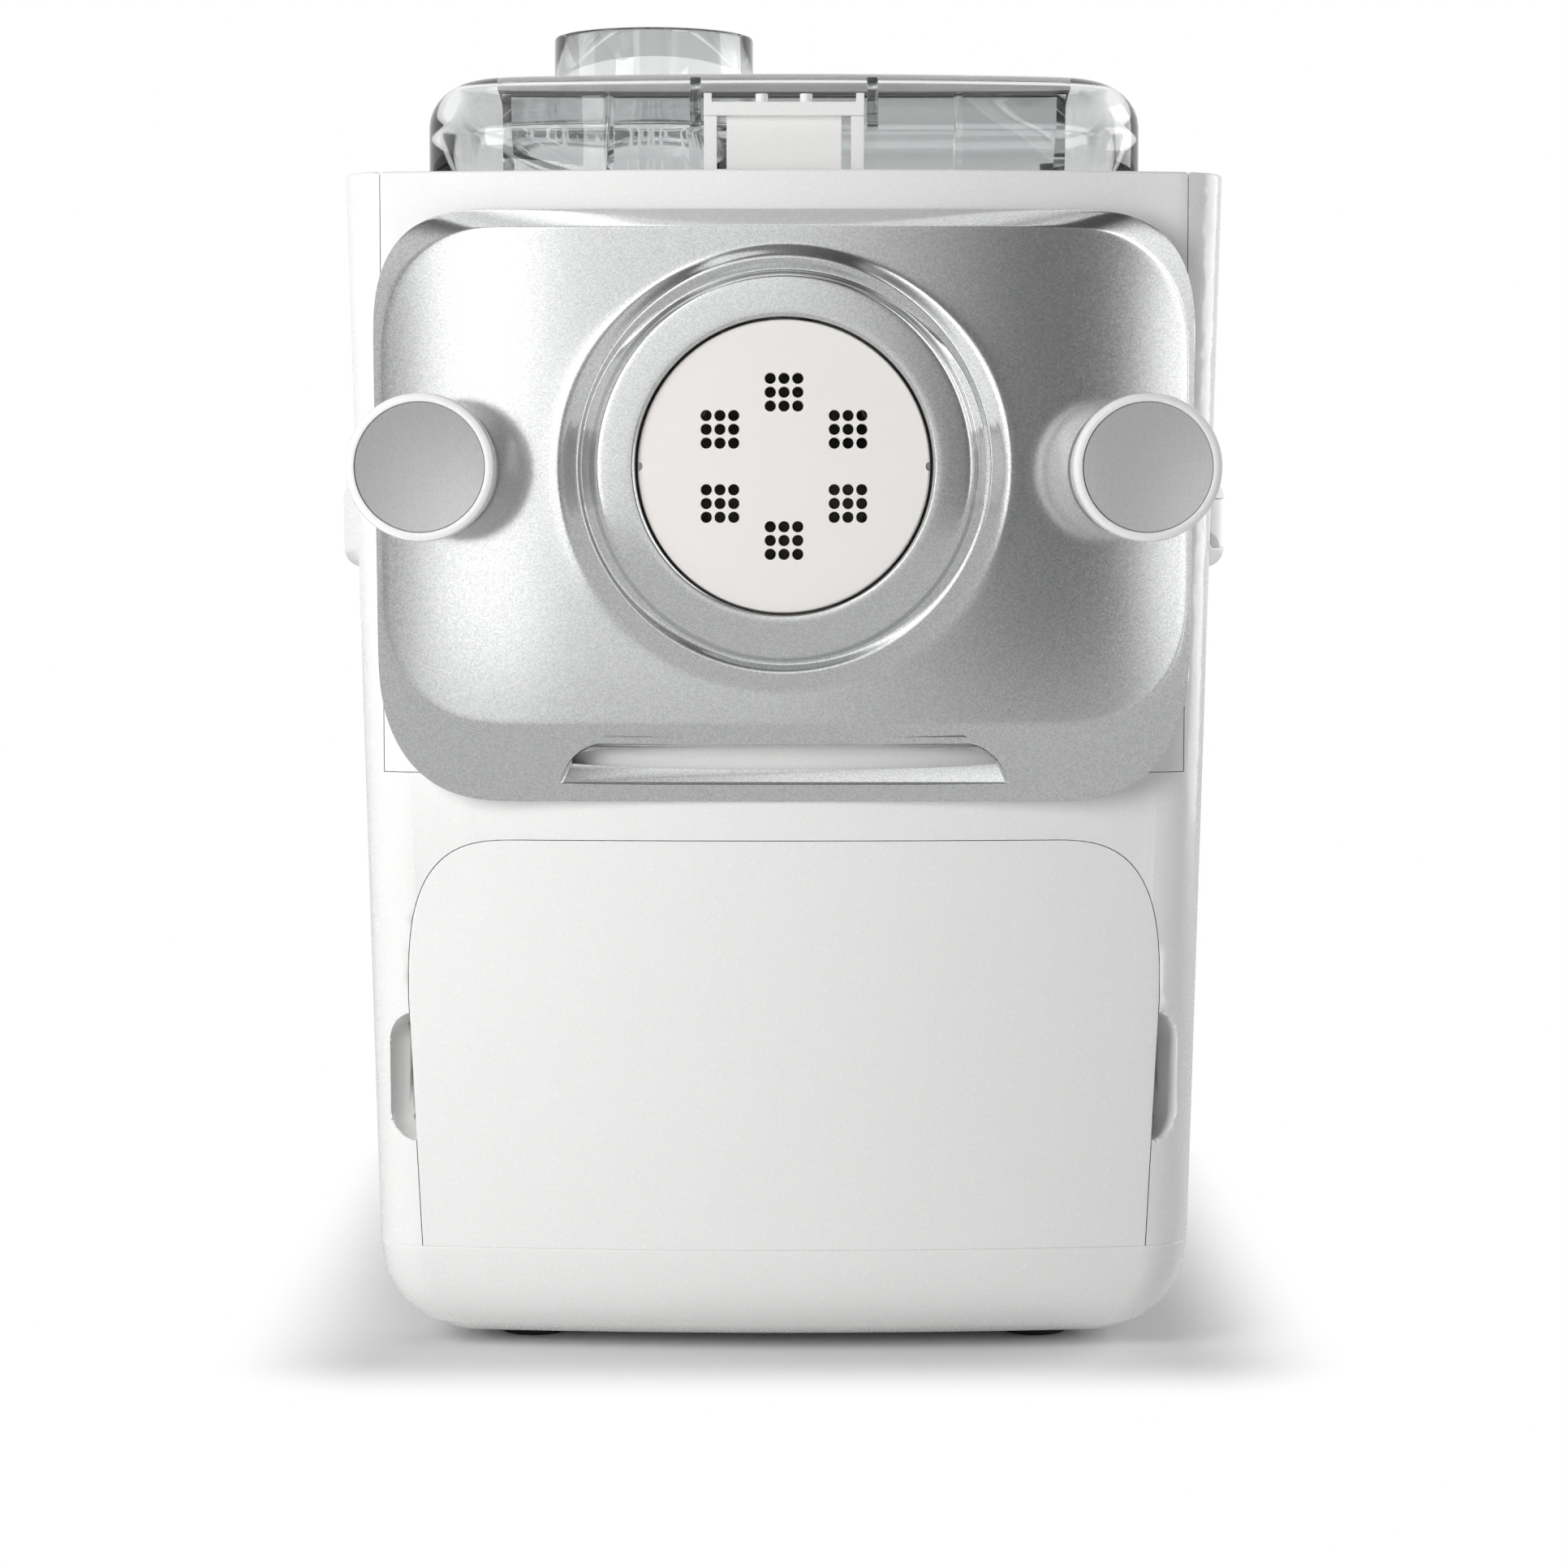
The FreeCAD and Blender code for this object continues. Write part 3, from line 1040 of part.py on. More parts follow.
# Clamp knobs: cap, inset and bolt
for name, side in (("left", -1), ("right", 1)):
    x = side * KNOB_X
    head_back = KNOB_FRONT_Y + KNOB_HEAD
    cap = fuse([
        rod_y(x, KNOB_Z, KNOB_SKIRT, head_back - PAST, KNOB_BACK_Y),
        rod_y(x, KNOB_Z, KNOB_RADIUS, KNOB_FRONT_Y, head_back),
    ])
    rims = []
    for edge in cap.Edges:
        bounds = edge.BoundBox
        if bounds.XLength > 2 * KNOB_RADIUS - 0.1 and bounds.YLength < 0.1:
            rims.append(edge)
    cap = cap.makeFillet(KNOB_EDGE, rims)
    inset_r = KNOB_RADIUS - KNOB_RIM
    inset_y = KNOB_FRONT_Y + INSET_THICK + CLEAR
    cap = cap.cut(rod_y(x, KNOB_Z, inset_r, KNOB_FRONT_Y - PAST, inset_y))
    cap = cap.cut(rod_y(x, KNOB_Z, BOLT_RADIUS + GLUE_FIT, KNOB_FRONT_Y + KNOB_CROWN, 0))
    cap = cap.cut(ring_y(x, KNOB_Z, BOLT_RADIUS + WALL, KNOB_SKIRT - KNOB_CORE, head_back + PAST, 0))
    save(name + "_knob", cap)
    inset = rod_y(x, KNOB_Z, inset_r - PRESS, inset_y - INSET_THICK, inset_y)
    ball = (inset_r ** 2 + INSET_DISH ** 2) / (2 * INSET_DISH)
    inset = inset.cut(Part.makeSphere(ball, V(x, inset_y - INSET_THICK + INSET_DISH - ball, KNOB_Z)))
    save(name + "_knob_inset", inset)
    shoulder_y = liner_back + THREAD_PASS
    bolt = fuse([
        rod_y(x, KNOB_Z, BOLT_RADIUS, KNOB_FRONT_Y + KNOB_CROWN + PAST, LUG_BACK_Y),
        rod_y(x, KNOB_Z, BOLT_SHOULDER, shoulder_y, shoulder_y + SHOULDER_THICK),
        box(x - LUG_LENGTH / 2, x + LUG_LENGTH / 2, LUG_BACK_Y - LUG_THICK, LUG_BACK_Y,
            KNOB_Z - LUG_WIDTH / 2, KNOB_Z + LUG_WIDTH / 2),
    ])
    save(name + "_clamp_bolt", bolt)

# Drawer on its runners
front = prism_y(drawer_wire(FACE_Y, 0), PANEL_RIM + PANEL_RISE).common(shell)
save("drawer_front", front)
drawer = box(
    -DRAWER_BOX_HALF, DRAWER_BOX_HALF, FRONT_Y, DRAWER_REAR_Y, DRAWER_BOX_LOW_Z, DRAWER_BOX_TOP_Z)
drawer = drawer.common(shell_inner)
room = box(
    DRAWER_WALL - DRAWER_BOX_HALF, DRAWER_BOX_HALF - DRAWER_WALL, FRONT_Y, DRAWER_REAR_Y - DRAWER_WALL,
    DRAWER_BOX_LOW_Z + DRAWER_WALL, DRAWER_BOX_TOP_Z + PAST)
drawer = drawer.cut(room.common(body_solid(SEAM_Z, DRAWER_TOP_Z, WALL + DRAWER_WALL)))
runner_x = DRAWER_BOX_HALF + DRAWER_LIP + 2 * CLEAR
runner_out = runner_x + RUNNER_THICK
lip_z = DRAWER_BOX_TOP_Z - LIP_THICK
rail_z = lip_z - CLEAR
lip = box(
    DRAWER_BOX_HALF - PAST, DRAWER_BOX_HALF + DRAWER_LIP, RUNNER_Y + PAST, DRAWER_REAR_Y,
    lip_z, DRAWER_BOX_TOP_Z)
runner = fuse([
    box(DRAWER_BOX_HALF + 2 * CLEAR, runner_out, RUNNER_Y, BULKHEAD_Y, rail_z - RUNNER_THICK, rail_z),
    box(runner_x, runner_out, RUNNER_Y, BULKHEAD_Y, rail_z - PAST, SHELF_Z),
])
save("drawer_box", fuse([drawer, lip, mirrored(lip)]))
save("drawer_runners", runner, mirrored(runner))

# Drive shaft, paddle and screw
output_shaft = fuse([
    rod_y(0, AXIS_Z, SHAFT_RADIUS, PADDLE_REAR_Y + PAST, COVER_Y - CLEAR),
    box(-DRIVE_SQUARE / 2, DRIVE_SQUARE / 2, SHAFT_SQUARE_Y, PADDLE_REAR_Y + 2 * PAST,
        AXIS_Z - DRIVE_SQUARE / 2, AXIS_Z + DRIVE_SQUARE / 2),
])
save("output_shaft", output_shaft)
socket = DRIVE_SQUARE / 2 + PRESS
paddle_parts = [rod_y(0, AXIS_Z, PADDLE_HUB, SCREW_BACK_Y + SEAT_FIT, PADDLE_REAR_Y)]
spread = (PADDLE_REAR_Y - SCREW_BACK_Y - 2 * PADDLE_BAR) / (PADDLE_ARMS - 1)
for number in range(PADDLE_ARMS):
    y = SCREW_BACK_Y + PADDLE_BAR + spread * number
    reach = PADDLE_REACH if number % 2 == 0 else -PADDLE_REACH
    low, high = sorted((0.0, reach))
    paddle_parts.append(box(
        -PADDLE_BAR / 2, PADDLE_BAR / 2, y - PADDLE_BAR / 2, y + PADDLE_BAR / 2, AXIS_Z + low, AXIS_Z + high))
    tip_z = AXIS_Z + reach - math.copysign(PADDLE_BAR / 2, reach)
    paddle_parts.append(box(
        -PADDLE_BAR / 2, PADDLE_BAR / 2, y - spread * PADDLE_BLADE, y + spread * PADDLE_BLADE,
        tip_z - PADDLE_BAR / 2, tip_z + PADDLE_BAR / 2))
paddle = fuse(paddle_parts)
paddle = paddle.cut(box(
    -TUB_RADIUS, TUB_RADIUS, PADDLE_REAR_Y + PAST, REAR_Y, AXIS_Z - TUB_RADIUS, AXIS_Z + TUB_RADIUS))
paddle = paddle.cut(box(
    -socket, socket, SHAFT_SQUARE_Y - PAST, REAR_Y, AXIS_Z - socket, AXIS_Z + socket))
paddle = paddle.cut(box(
    -socket, socket, SCREW_TIP_Y, SCREW_BACK_Y + SCREW_TANG + PAST, AXIS_Z - socket, AXIS_Z + socket))
save("mixing_paddle", paddle)

screw_length = SCREW_PITCH * SCREW_TURNS
helix = Part.makeHelix(SCREW_PITCH, screw_length, SCREW_RADIUS - PAST)
flight_root = SCREW_CORE - PAST
flight_wire = Part.makePolygon([
    V(flight_root, 0, -SCREW_FLIGHT / 2), V(SCREW_RADIUS, 0, -SCREW_FLIGHT / 4),
    V(SCREW_RADIUS, 0, SCREW_FLIGHT / 4), V(flight_root, 0, SCREW_FLIGHT / 2),
    V(flight_root, 0, -SCREW_FLIGHT / 2)])
flight = Part.Wire(helix.Edges).makePipeShell([flight_wire], True, True)
flight.rotate(V(0, 0, 0), V(1, 0, 0), -90)
flight.translate(V(0, SCREW_TIP_Y + SCREW_FLIGHT / 2 + NOSE_ROUND, AXIS_Z))
screw = fuse([
    flight,
    rod_y(0, AXIS_Z, SCREW_CORE, SCREW_TIP_Y, SCREW_BACK_Y),
    box(-DRIVE_SQUARE / 2, DRIVE_SQUARE / 2, SCREW_BACK_Y - PAST, SCREW_BACK_Y + SCREW_TANG,
        AXIS_Z - DRIVE_SQUARE / 2, AXIS_Z + DRIVE_SQUARE / 2),
])
save("extrusion_screw", screw)

# Gears
slow_bore = SHAFT_RADIUS + GLUE_FIT
gear_hub = ring_y(0, AXIS_Z, slow_bore, GEAR_HUB, SLOW_Y, SLOW_Y + SLOW_FACE + HUB_LENGTH)
slow_gear = gear(
    TEETH_SLOW, MODULE_SLOW, AXIS_Z, -90 + 180 / TEETH_SLOW, SLOW_Y, SLOW_Y + SLOW_FACE, slow_bore)
save("output_gear", fuse([slow_gear, gear_hub]))
slow_pinion = gear(
    TEETH_SLOW_PINION, MODULE_SLOW, IDLER_Z, 90, SLOW_Y - PAST, FAST_Y, IDLER_SHAFT - PAST)
idler_shaft = rod_y(0, IDLER_Z, IDLER_SHAFT, CASE_Y + BUSH_SINK + CLEAR, COVER_Y + BUSH_SINK - CLEAR)
save("idler_pinion", fuse([slow_pinion, idler_shaft]))
save("idler_gear", gear(
    TEETH_FAST, MODULE_FAST, IDLER_Z, -90 + 180 / TEETH_FAST, FAST_Y, FAST_Y + FAST_FACE,
    IDLER_SHAFT + GLUE_FIT))

# Gearbox case and cover
slow_case = MODULE_SLOW * (TEETH_SLOW / 2 + 1) + CASE_SLOW_GAP + CASE_WALL
fast_case = MODULE_FAST * (TEETH_FAST / 2 + 1) + CASE_SLOW_GAP + CASE_WALL
pinion_tip = MODULE_FAST * (TEETH_FAST_PINION / 2 + 1)
motor_case = pinion_tip + MOTOR_NECK


def case_block(shrink, y0, y1):
    """Outline round the three gear shafts."""
    slow = slow_case - shrink
    fast = fast_case - shrink
    small = motor_case - shrink
    return fuse([
        rod_y(0, AXIS_Z, slow, y0, y1),
        rod_y(0, IDLER_Z, fast, y0, y1),
        rod_y(0, MOTOR_Z, small, y0, y1),
        box(-fast, fast, y0, y1, IDLER_Z, AXIS_Z),
        box(-small, small, y0, y1, MOTOR_Z, IDLER_Z),
    ])


corner = (slow_case + CASE_BOSS_OUT) * math.sqrt(0.5)
lower_x = fast_case + BUSH_SINK
case_spots = [
    (-corner, AXIS_Z + corner), (corner, AXIS_Z + corner),
    (-lower_x, IDLER_Z - BUSH_LENGTH), (lower_x, IDLER_Z - BUSH_LENGTH),
]
front_wall = CASE_Y + CASE_WALL
case = case_block(0, CASE_Y, COVER_Y).cut(case_block(CASE_WALL, front_wall, COVER_Y + PAST))
case_extra = [
    rod_y(0, AXIS_Z, BEARING_OUTER + POCKET_WALL, CASE_Y, CASE_Y + PAST + BEARING_WIDTH),
    rod_y(0, IDLER_Z, IDLER_BUSH + POCKET_WALL, CASE_Y, CASE_Y + BUSH_SINK + BUSH_LENGTH),
]
for x, z in case_spots:
    case_extra.append(rod_y(x, z, CASE_BOSS, COVER_Y - CASE_BOSS_LENGTH, COVER_Y))
case = fuse([case] + case_extra)
case = case.cut(case_block(CASE_WALL, SLOW_Y, COVER_Y + PAST))
case = case.cut(rod_y(0, AXIS_Z, BEARING_OUTER, CASE_Y + PAST, COVER_Y))
case = case.cut(rod_y(0, AXIS_Z, SHAFT_RADIUS + PAST, CASE_Y - PAST, front_wall))
case = case.cut(rod_y(0, IDLER_Z, IDLER_BUSH, CASE_Y + BUSH_SINK, COVER_Y))
gear_cover = [
    case_block(0, COVER_Y, MOTOR_Y),
    rod_y(0, AXIS_Z, BEARING_OUTER + POCKET_WALL, COVER_Y - BEARING_WIDTH, COVER_Y + PAST),
    rod_y(0, IDLER_Z, IDLER_BUSH + POCKET_WALL, COVER_Y - BUSH_LENGTH + BUSH_SINK, COVER_Y + PAST),
]
for x, z in case_spots:
    gear_cover.append(rod_y(x, z, CASE_BOSS, COVER_Y, MOTOR_Y))
gear_cover = fuse(gear_cover)
gear_cover = gear_cover.cut(rod_y(0, AXIS_Z, BEARING_OUTER, COVER_Y - BEARING_WIDTH - PAST, COVER_Y))
gear_cover = gear_cover.cut(rod_y(0, IDLER_Z, IDLER_BUSH, COVER_Y - BUSH_LENGTH, COVER_Y + BUSH_SINK))
gear_cover = gear_cover.cut(rod_y(0, MOTOR_Z, pinion_tip + PAST, COVER_Y - PAST, MOTOR_Y + PAST))
for x, z in case_spots:
    case = case.cut(rod_y(x, z, SCREW_SHANK + PRESS, MOTOR_Y - SCREW_LENGTH - PAST, COVER_Y + PAST))
    gear_cover = gear_cover.cut(rod_y(x, z, SCREW_SHANK + THREAD_PASS, COVER_Y - PAST, MOTOR_Y + PAST))
save("gearbox_case", case)
save("gearbox_cover", gear_cover)
bearing_rings = []
for y in (CASE_Y + PAST, COVER_Y - BEARING_WIDTH):
    bearing_rings.append(ring_y(
        0, AXIS_Z, SHAFT_RADIUS + RUNNING_FIT, BEARING_OUTER - PRESS, y, y + BEARING_WIDTH))
save("output_bearings", *bearing_rings)
screws = []
for x, z in rear_spots:
    screws.append(screw_y(x, REAR_Y - HEAD_HEIGHT, z, -1))
for x, z in case_spots:
    screws.append(screw_y(x, MOTOR_Y, z, -1))
save("cover_screws", *screws)

# Motor on the gearbox cover
fan_y = MOTOR_Y + FAN_START
can_end = MOTOR_Y + MOTOR_LENGTH
cap_end = can_end + CAP_THICK
stack_y = MOTOR_Y + STACK_START
stack_end = stack_y + ROTOR_LENGTH
can_bore = MOTOR_RADIUS - MOTOR_WALL


def turned(piece, angle):
    """A piece made about a shaft along Y, turned and set on the motor's axis."""
    piece.rotate(V(0, 0, 0), V(0, 1, 0), angle)
    piece.translate(V(0, 0, MOTOR_Z))
    return piece


can = rod_y(0, MOTOR_Z, MOTOR_RADIUS, MOTOR_Y, can_end)
can = can.cut(rod_y(0, MOTOR_Z, can_bore, MOTOR_Y + CAN_BOTTOM, can_end + PAST))
can = can.cut(rod_y(0, MOTOR_Z, IDLER_BUSH, MOTOR_Y - PAST, MOTOR_Y + CAN_BOTTOM + PAST))
slots = []
for number in range(CAN_SLOTS):
    slot = box(
        -CAN_SLOT_HALF, CAN_SLOT_HALF, fan_y - PAST, fan_y + FAN_DEPTH + 2 * PAST,
        can_bore - WALL, MOTOR_RADIUS + WALL)
    slots.append(turned(slot, 360 / CAN_SLOTS * (number + 0.5)))
save("motor_can", can.cut(Part.makeCompound(slots)))
end_cap = rod_y(0, MOTOR_Z, MOTOR_RADIUS, can_end, cap_end)
end_cap = end_cap.cut(rod_y(0, MOTOR_Z, IDLER_BUSH, can_end - PAST, cap_end + PAST))
for number in range(CAP_HOLES):
    hole = rod_y(CAP_HOLE_CIRCLE, 0, CAP_HOLE_RADIUS, can_end - PAST, cap_end + PAST)
    end_cap = end_cap.cut(turned(hole, 360 / CAP_HOLES * number))
save("motor_end_cap", end_cap)
save("motor_stator", ring_y(0, MOTOR_Z, STATOR_BORE, can_bore - PRESS, stack_y, stack_end))
rotor_bore = ROTOR_SHAFT + GLUE_FIT
save("rotor_core", ring_y(0, MOTOR_Z, rotor_bore, ROTOR_RADIUS, stack_y, stack_end))
motor_pinion = gear(
    TEETH_FAST_PINION, MODULE_FAST, MOTOR_Z, 90, FAST_Y - PAST, FAST_Y + FAST_FACE + PAST,
    ROTOR_SHAFT - PAST)
rotor_shaft = rod_y(0, MOTOR_Z, ROTOR_SHAFT, FAST_Y - PAST, cap_end - PAST)
save("rotor_shaft", fuse([motor_pinion, rotor_shaft]))
fan = [
    ring_y(0, MOTOR_Z, rotor_bore, FAN_HUB, fan_y, fan_y + FAN_DEPTH),
    ring_y(0, MOTOR_Z, FAN_HUB - PAST, FAN_RADIUS, fan_y, fan_y + FAN_PLATE),
]
for number in range(FAN_BLADES):
    blade = box(-BLADE_HALF, BLADE_HALF, fan_y, fan_y + FAN_DEPTH, FAN_HUB - PAST, FAN_RADIUS)
    fan.append(turned(blade, 360 / FAN_BLADES * number))
save("cooling_fan", fuse(fan))
bushes = []
for z, shaft, y, length in (
        (IDLER_Z, IDLER_SHAFT, CASE_Y + BUSH_SINK, BUSH_LENGTH),
        (IDLER_Z, IDLER_SHAFT, COVER_Y + BUSH_SINK - BUSH_LENGTH, BUSH_LENGTH),
        (MOTOR_Z, ROTOR_SHAFT, MOTOR_Y, CAN_BOTTOM),
        (MOTOR_Z, ROTOR_SHAFT, can_end, CAP_THICK)):
    bushes.append(ring_y(0, z, shaft + RUNNING_FIT, IDLER_BUSH - PRESS, y, y + length))
save("shaft_bushes", *bushes)
bracket_y = (stack_y + stack_end) / 2
foot_half = BRACKET_HALF + BRACKET_THICK
bracket = fuse([
    box(-foot_half, foot_half, bracket_y - BRACKET_FOOT, bracket_y + BRACKET_FOOT,
        FLOOR_Z, FLOOR_Z + BRACKET_THICK),
    box(-BRACKET_HALF, BRACKET_HALF, bracket_y - BRACKET_THICK, bracket_y + BRACKET_THICK,
        FLOOR_Z, MOTOR_Z - ROTOR_RADIUS),
])
saddle = rod_y(0, MOTOR_Z, MOTOR_RADIUS + CLEAR, bracket_y - BRACKET_FOOT, bracket_y + BRACKET_FOOT)
save("motor_bracket", bracket.cut(saddle))

# Power board on the tray's posts, with a capacitor, a relay and a transformer
board_top = BOARD_Z + BOARD_THICK
CAPACITOR = (14.0, 18.0, 9.0, 26.0)       # place on the board, radius and height
RELAY = (28.0, 10.0, 16.0, 28.0, 16.0)    # place on the board and size
TRANSFORMER = (8.0, 46.0, 34.0, 24.0, 24.0)
board_parts = [box(BOARD_X0, BOARD_X1, BOARD_Y0, BOARD_Y1, BOARD_Z, board_top)]
along, across, radius, height = CAPACITOR
board_parts.append(rod_z(BOARD_X0 + along, BOARD_Y0 + across, radius, board_top, board_top + height))
for along, across, width, depth, height in (RELAY, TRANSFORMER):
    x = BOARD_X0 + along
    y = BOARD_Y0 + across
    board_parts.append(box(x, x + width, y, y + depth, board_top, board_top + height))
save("power_board", *board_parts)
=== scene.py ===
# %% [markdown]
# Electric pasta maker: how it looks
#
# The machine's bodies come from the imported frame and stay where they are.
# This lesson gives them their surfaces: a new skin where the frame's piece is too plain,
# and a material for every piece, seen or hidden. All lengths below are in millimetres.

# %% Load the frame
import bmesh
import bpy
import json
import math
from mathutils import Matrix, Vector


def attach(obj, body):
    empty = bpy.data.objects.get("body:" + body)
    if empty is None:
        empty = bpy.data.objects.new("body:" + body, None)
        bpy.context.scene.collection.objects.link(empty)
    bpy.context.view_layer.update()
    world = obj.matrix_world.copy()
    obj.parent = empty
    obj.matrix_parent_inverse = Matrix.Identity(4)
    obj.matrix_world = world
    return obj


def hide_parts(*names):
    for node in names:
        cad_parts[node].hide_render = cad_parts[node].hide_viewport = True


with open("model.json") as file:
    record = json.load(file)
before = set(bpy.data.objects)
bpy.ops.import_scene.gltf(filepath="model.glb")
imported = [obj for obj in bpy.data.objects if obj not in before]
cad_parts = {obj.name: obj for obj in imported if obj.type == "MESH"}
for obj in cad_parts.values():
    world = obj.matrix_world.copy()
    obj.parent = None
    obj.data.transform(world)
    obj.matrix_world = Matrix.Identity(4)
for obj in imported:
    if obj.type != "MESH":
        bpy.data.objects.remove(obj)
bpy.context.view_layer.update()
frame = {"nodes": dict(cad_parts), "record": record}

print("frame nodes:", len(frame["nodes"]))

# %% [markdown]
# The photograph was taken from about a metre in front of the machine, with the camera near
# the height of the nose and tilted down by a few degrees. So the knobs show the lower side
# of their skirts, and the lid is seen from a little below, through its walls.

# %% Camera
MM = 0.001
FRAME_PIXELS = 1932
FOCAL_PIXELS = 4850.0
SENSOR = 36.0
CAMERA_HEIGHT = 214.0
CAMERA_DISTANCE = 988.0
CAMERA_PITCH = 3.85
FRONT_Y = -147.0

camera_data = bpy.data.cameras.new("camera")
camera_data.sensor_width = SENSOR
camera_data.lens = SENSOR * FOCAL_PIXELS / FRAME_PIXELS
camera = bpy.data.objects.new("camera", camera_data)
bpy.context.scene.collection.objects.link(camera)
camera.location = (0, (FRONT_Y - CAMERA_DISTANCE) * MM, CAMERA_HEIGHT * MM)
camera.rotation_euler = (math.radians(90 - CAMERA_PITCH), 0, 0)
bpy.context.scene.camera = camera
print("lens", round(camera_data.lens, 2), "mm")

# %% [markdown]
# Two helpers serve every material. Colours are written as hex values, as a picture program
# shows them, while a shader takes linear values, so one function turns them. The other
# adds a node with its settings, values and links in one call.

# %% Colours and nodes
def srgb(code):
    """A hex colour as the linear values that a shader takes."""
    values = []
    for start in (0, 2, 4):
        part = int(code[start:start + 2], 16) / 255
        values.append(part / 12.92 if part <= 0.04045 else ((part + 0.055) / 1.055) ** 2.4)
    return (*values, 1.0)


def add_node(tree, kind, settings=None, **links):
    """Adds a node, sets its properties and inputs, and links what is given as a socket."""
    node = tree.nodes.new(kind)
    for name, value in (settings or {}).items():
        setattr(node, name, value)
    for name, value in links.items():
        socket = node.inputs[int(name[1:])] if name[0] == "i" and name[1:].isdigit() else None
        if socket is None:
            socket = node.inputs[name.replace("_", " ")]
        if isinstance(value, bpy.types.NodeSocket):
            tree.links.new(value, socket)
        else:
            socket.default_value = value
    return node


print("a mid grey is", round(srgb("808080")[0], 3), "in linear values")

# %% [markdown]
# A product photograph on white: the floor and the wall behind are one white sweep. Its
# brightness for the camera comes from its colour, so the lamps can stay at a plain level.
# The paper darkens only close to the machine, where its shadow lies.

# %% Floor and backdrop
BASE_HALF_X = 100.0
BASE_HALF_Y = 160.0
BASE_MIDDLE_Y = 18.0
SHADOW_REACH = 45.0
MIRRORED_WHITE = 0.6
FLOOR_SIZE = 8.0

backdrop_material = bpy.data.materials.new("white paper sweep")
backdrop_material.use_nodes = True
tree = backdrop_material.node_tree
tree.nodes.clear()
path = add_node(tree, "ShaderNodeLightPath")
seen = add_node(tree, "ShaderNodeMath", {"operation": "MAXIMUM"},
                i0=path.outputs["Is Camera Ray"], i1=path.outputs["Is Transmission Ray"])
seen = add_node(tree, "ShaderNodeMath", {"operation": "MAXIMUM"},
                i0=seen.outputs[0], i1=path.outputs["Is Glossy Ray"])
paper = add_node(tree, "ShaderNodeBsdfDiffuse", Color=srgb("f2f2f2"))
dimmed = add_node(tree, "ShaderNodeMapRange", i0=path.outputs["Is Glossy Ray"],
                  i3=1.0, i4=MIRRORED_WHITE)
glow = add_node(tree, "ShaderNodeEmission", Color=(1, 1, 1, 1), Strength=dimmed.outputs[0])
# The shadow is kept close to the base: distance outside the rectangle that it stands on
beside = add_node(tree, "ShaderNodeTexCoord").outputs["Object"]
for operation, amount in (("SUBTRACT", (0, BASE_MIDDLE_Y * MM, 0)), ("ABSOLUTE", (0, 0, 0)),
                          ("SUBTRACT", (BASE_HALF_X * MM, BASE_HALF_Y * MM, 1.0)),
                          ("MAXIMUM", (0, 0, 0))):
    beside = add_node(tree, "ShaderNodeVectorMath", {"operation": operation},
                      i0=beside, i1=amount).outputs[0]
spread = add_node(tree, "ShaderNodeVectorMath", {"operation": "LENGTH"}, i0=beside)
fade = add_node(tree, "ShaderNodeMapRange", {"interpolation_type": "SMOOTHSTEP"},
                i0=spread.outputs["Value"], i1=0.0, i2=SHADOW_REACH * MM, i3=0.0, i4=1.0)
white = add_node(tree, "ShaderNodeMath", {"operation": "MULTIPLY"},
                 i0=seen.outputs[0], i1=fade.outputs[0])
mix = add_node(tree, "ShaderNodeMixShader", i0=white.outputs[0],
               i1=paper.outputs[0], i2=glow.outputs[0])
add_node(tree, "ShaderNodeOutputMaterial", Surface=mix.outputs[0])


def deselect():
    """Leaves edit mode and selects nothing."""
    if bpy.context.object and bpy.context.object.mode != "OBJECT":
        bpy.ops.object.mode_set(mode="OBJECT")
    bpy.ops.object.select_all(action="DESELECT")


deselect()
bpy.ops.mesh.primitive_plane_add(size=FLOOR_SIZE, location=(0, 0, 0))
floor = bpy.context.object
floor.name = "floor"
floor.data.materials.append(backdrop_material)
print("floor:", FLOOR_SIZE, "m wide")

# %% [markdown]
# The studio is drawn by direction. The bowed silver panel mirrors a bright wall near its
# left side, a dark one in its right half and a narrow bright one at its right edge. The
# key light stands on the left, near the machine, so the body falls off to the right.

# %% World and lamps
# Where each part of the room starts and ends, as a share of the direction's length
BEHIND = (-0.1, 0.3)
WALLS = (-0.5, 0.5)
CEILING = (0.45, 0.8)
HORIZON = (-0.3, 0.3)
# How bright the parts are; the walls' tones run from the left to the right
ROOM_STRENGTH = 2.0
CEILING_STRENGTH = 0.3
BELOW_AND_ABOVE = (0.76, 1.24)
SOFT_LEFT_AND_RIGHT = (0.46, 0.02)
WALL_TONES = [
    (0.0, 0.3), (0.09, 0.1), (0.13, 0.08), (0.165, 0.95), (0.235, 0.98), (0.285, 0.53),
    (0.5, 0.44), (0.64, 0.22), (0.73, 0.07), (0.825, 0.03), (0.845, 0.15), (0.87, 1.0),
    (0.92, 1.0), (1.0, 0.5)]

world = bpy.data.worlds.new("studio")
bpy.context.scene.world = world
world.use_nodes = True
tree = world.node_tree
tree.nodes.clear()
path = add_node(tree, "ShaderNodeLightPath")
seen = add_node(tree, "ShaderNodeMath", {"operation": "MAXIMUM"},
                i0=path.outputs["Is Transmission Ray"], i1=path.outputs["Is Glossy Ray"])
direction = add_node(tree, "ShaderNodeSeparateXYZ",
                     Vector=add_node(tree, "ShaderNodeTexCoord").outputs["Generated"])
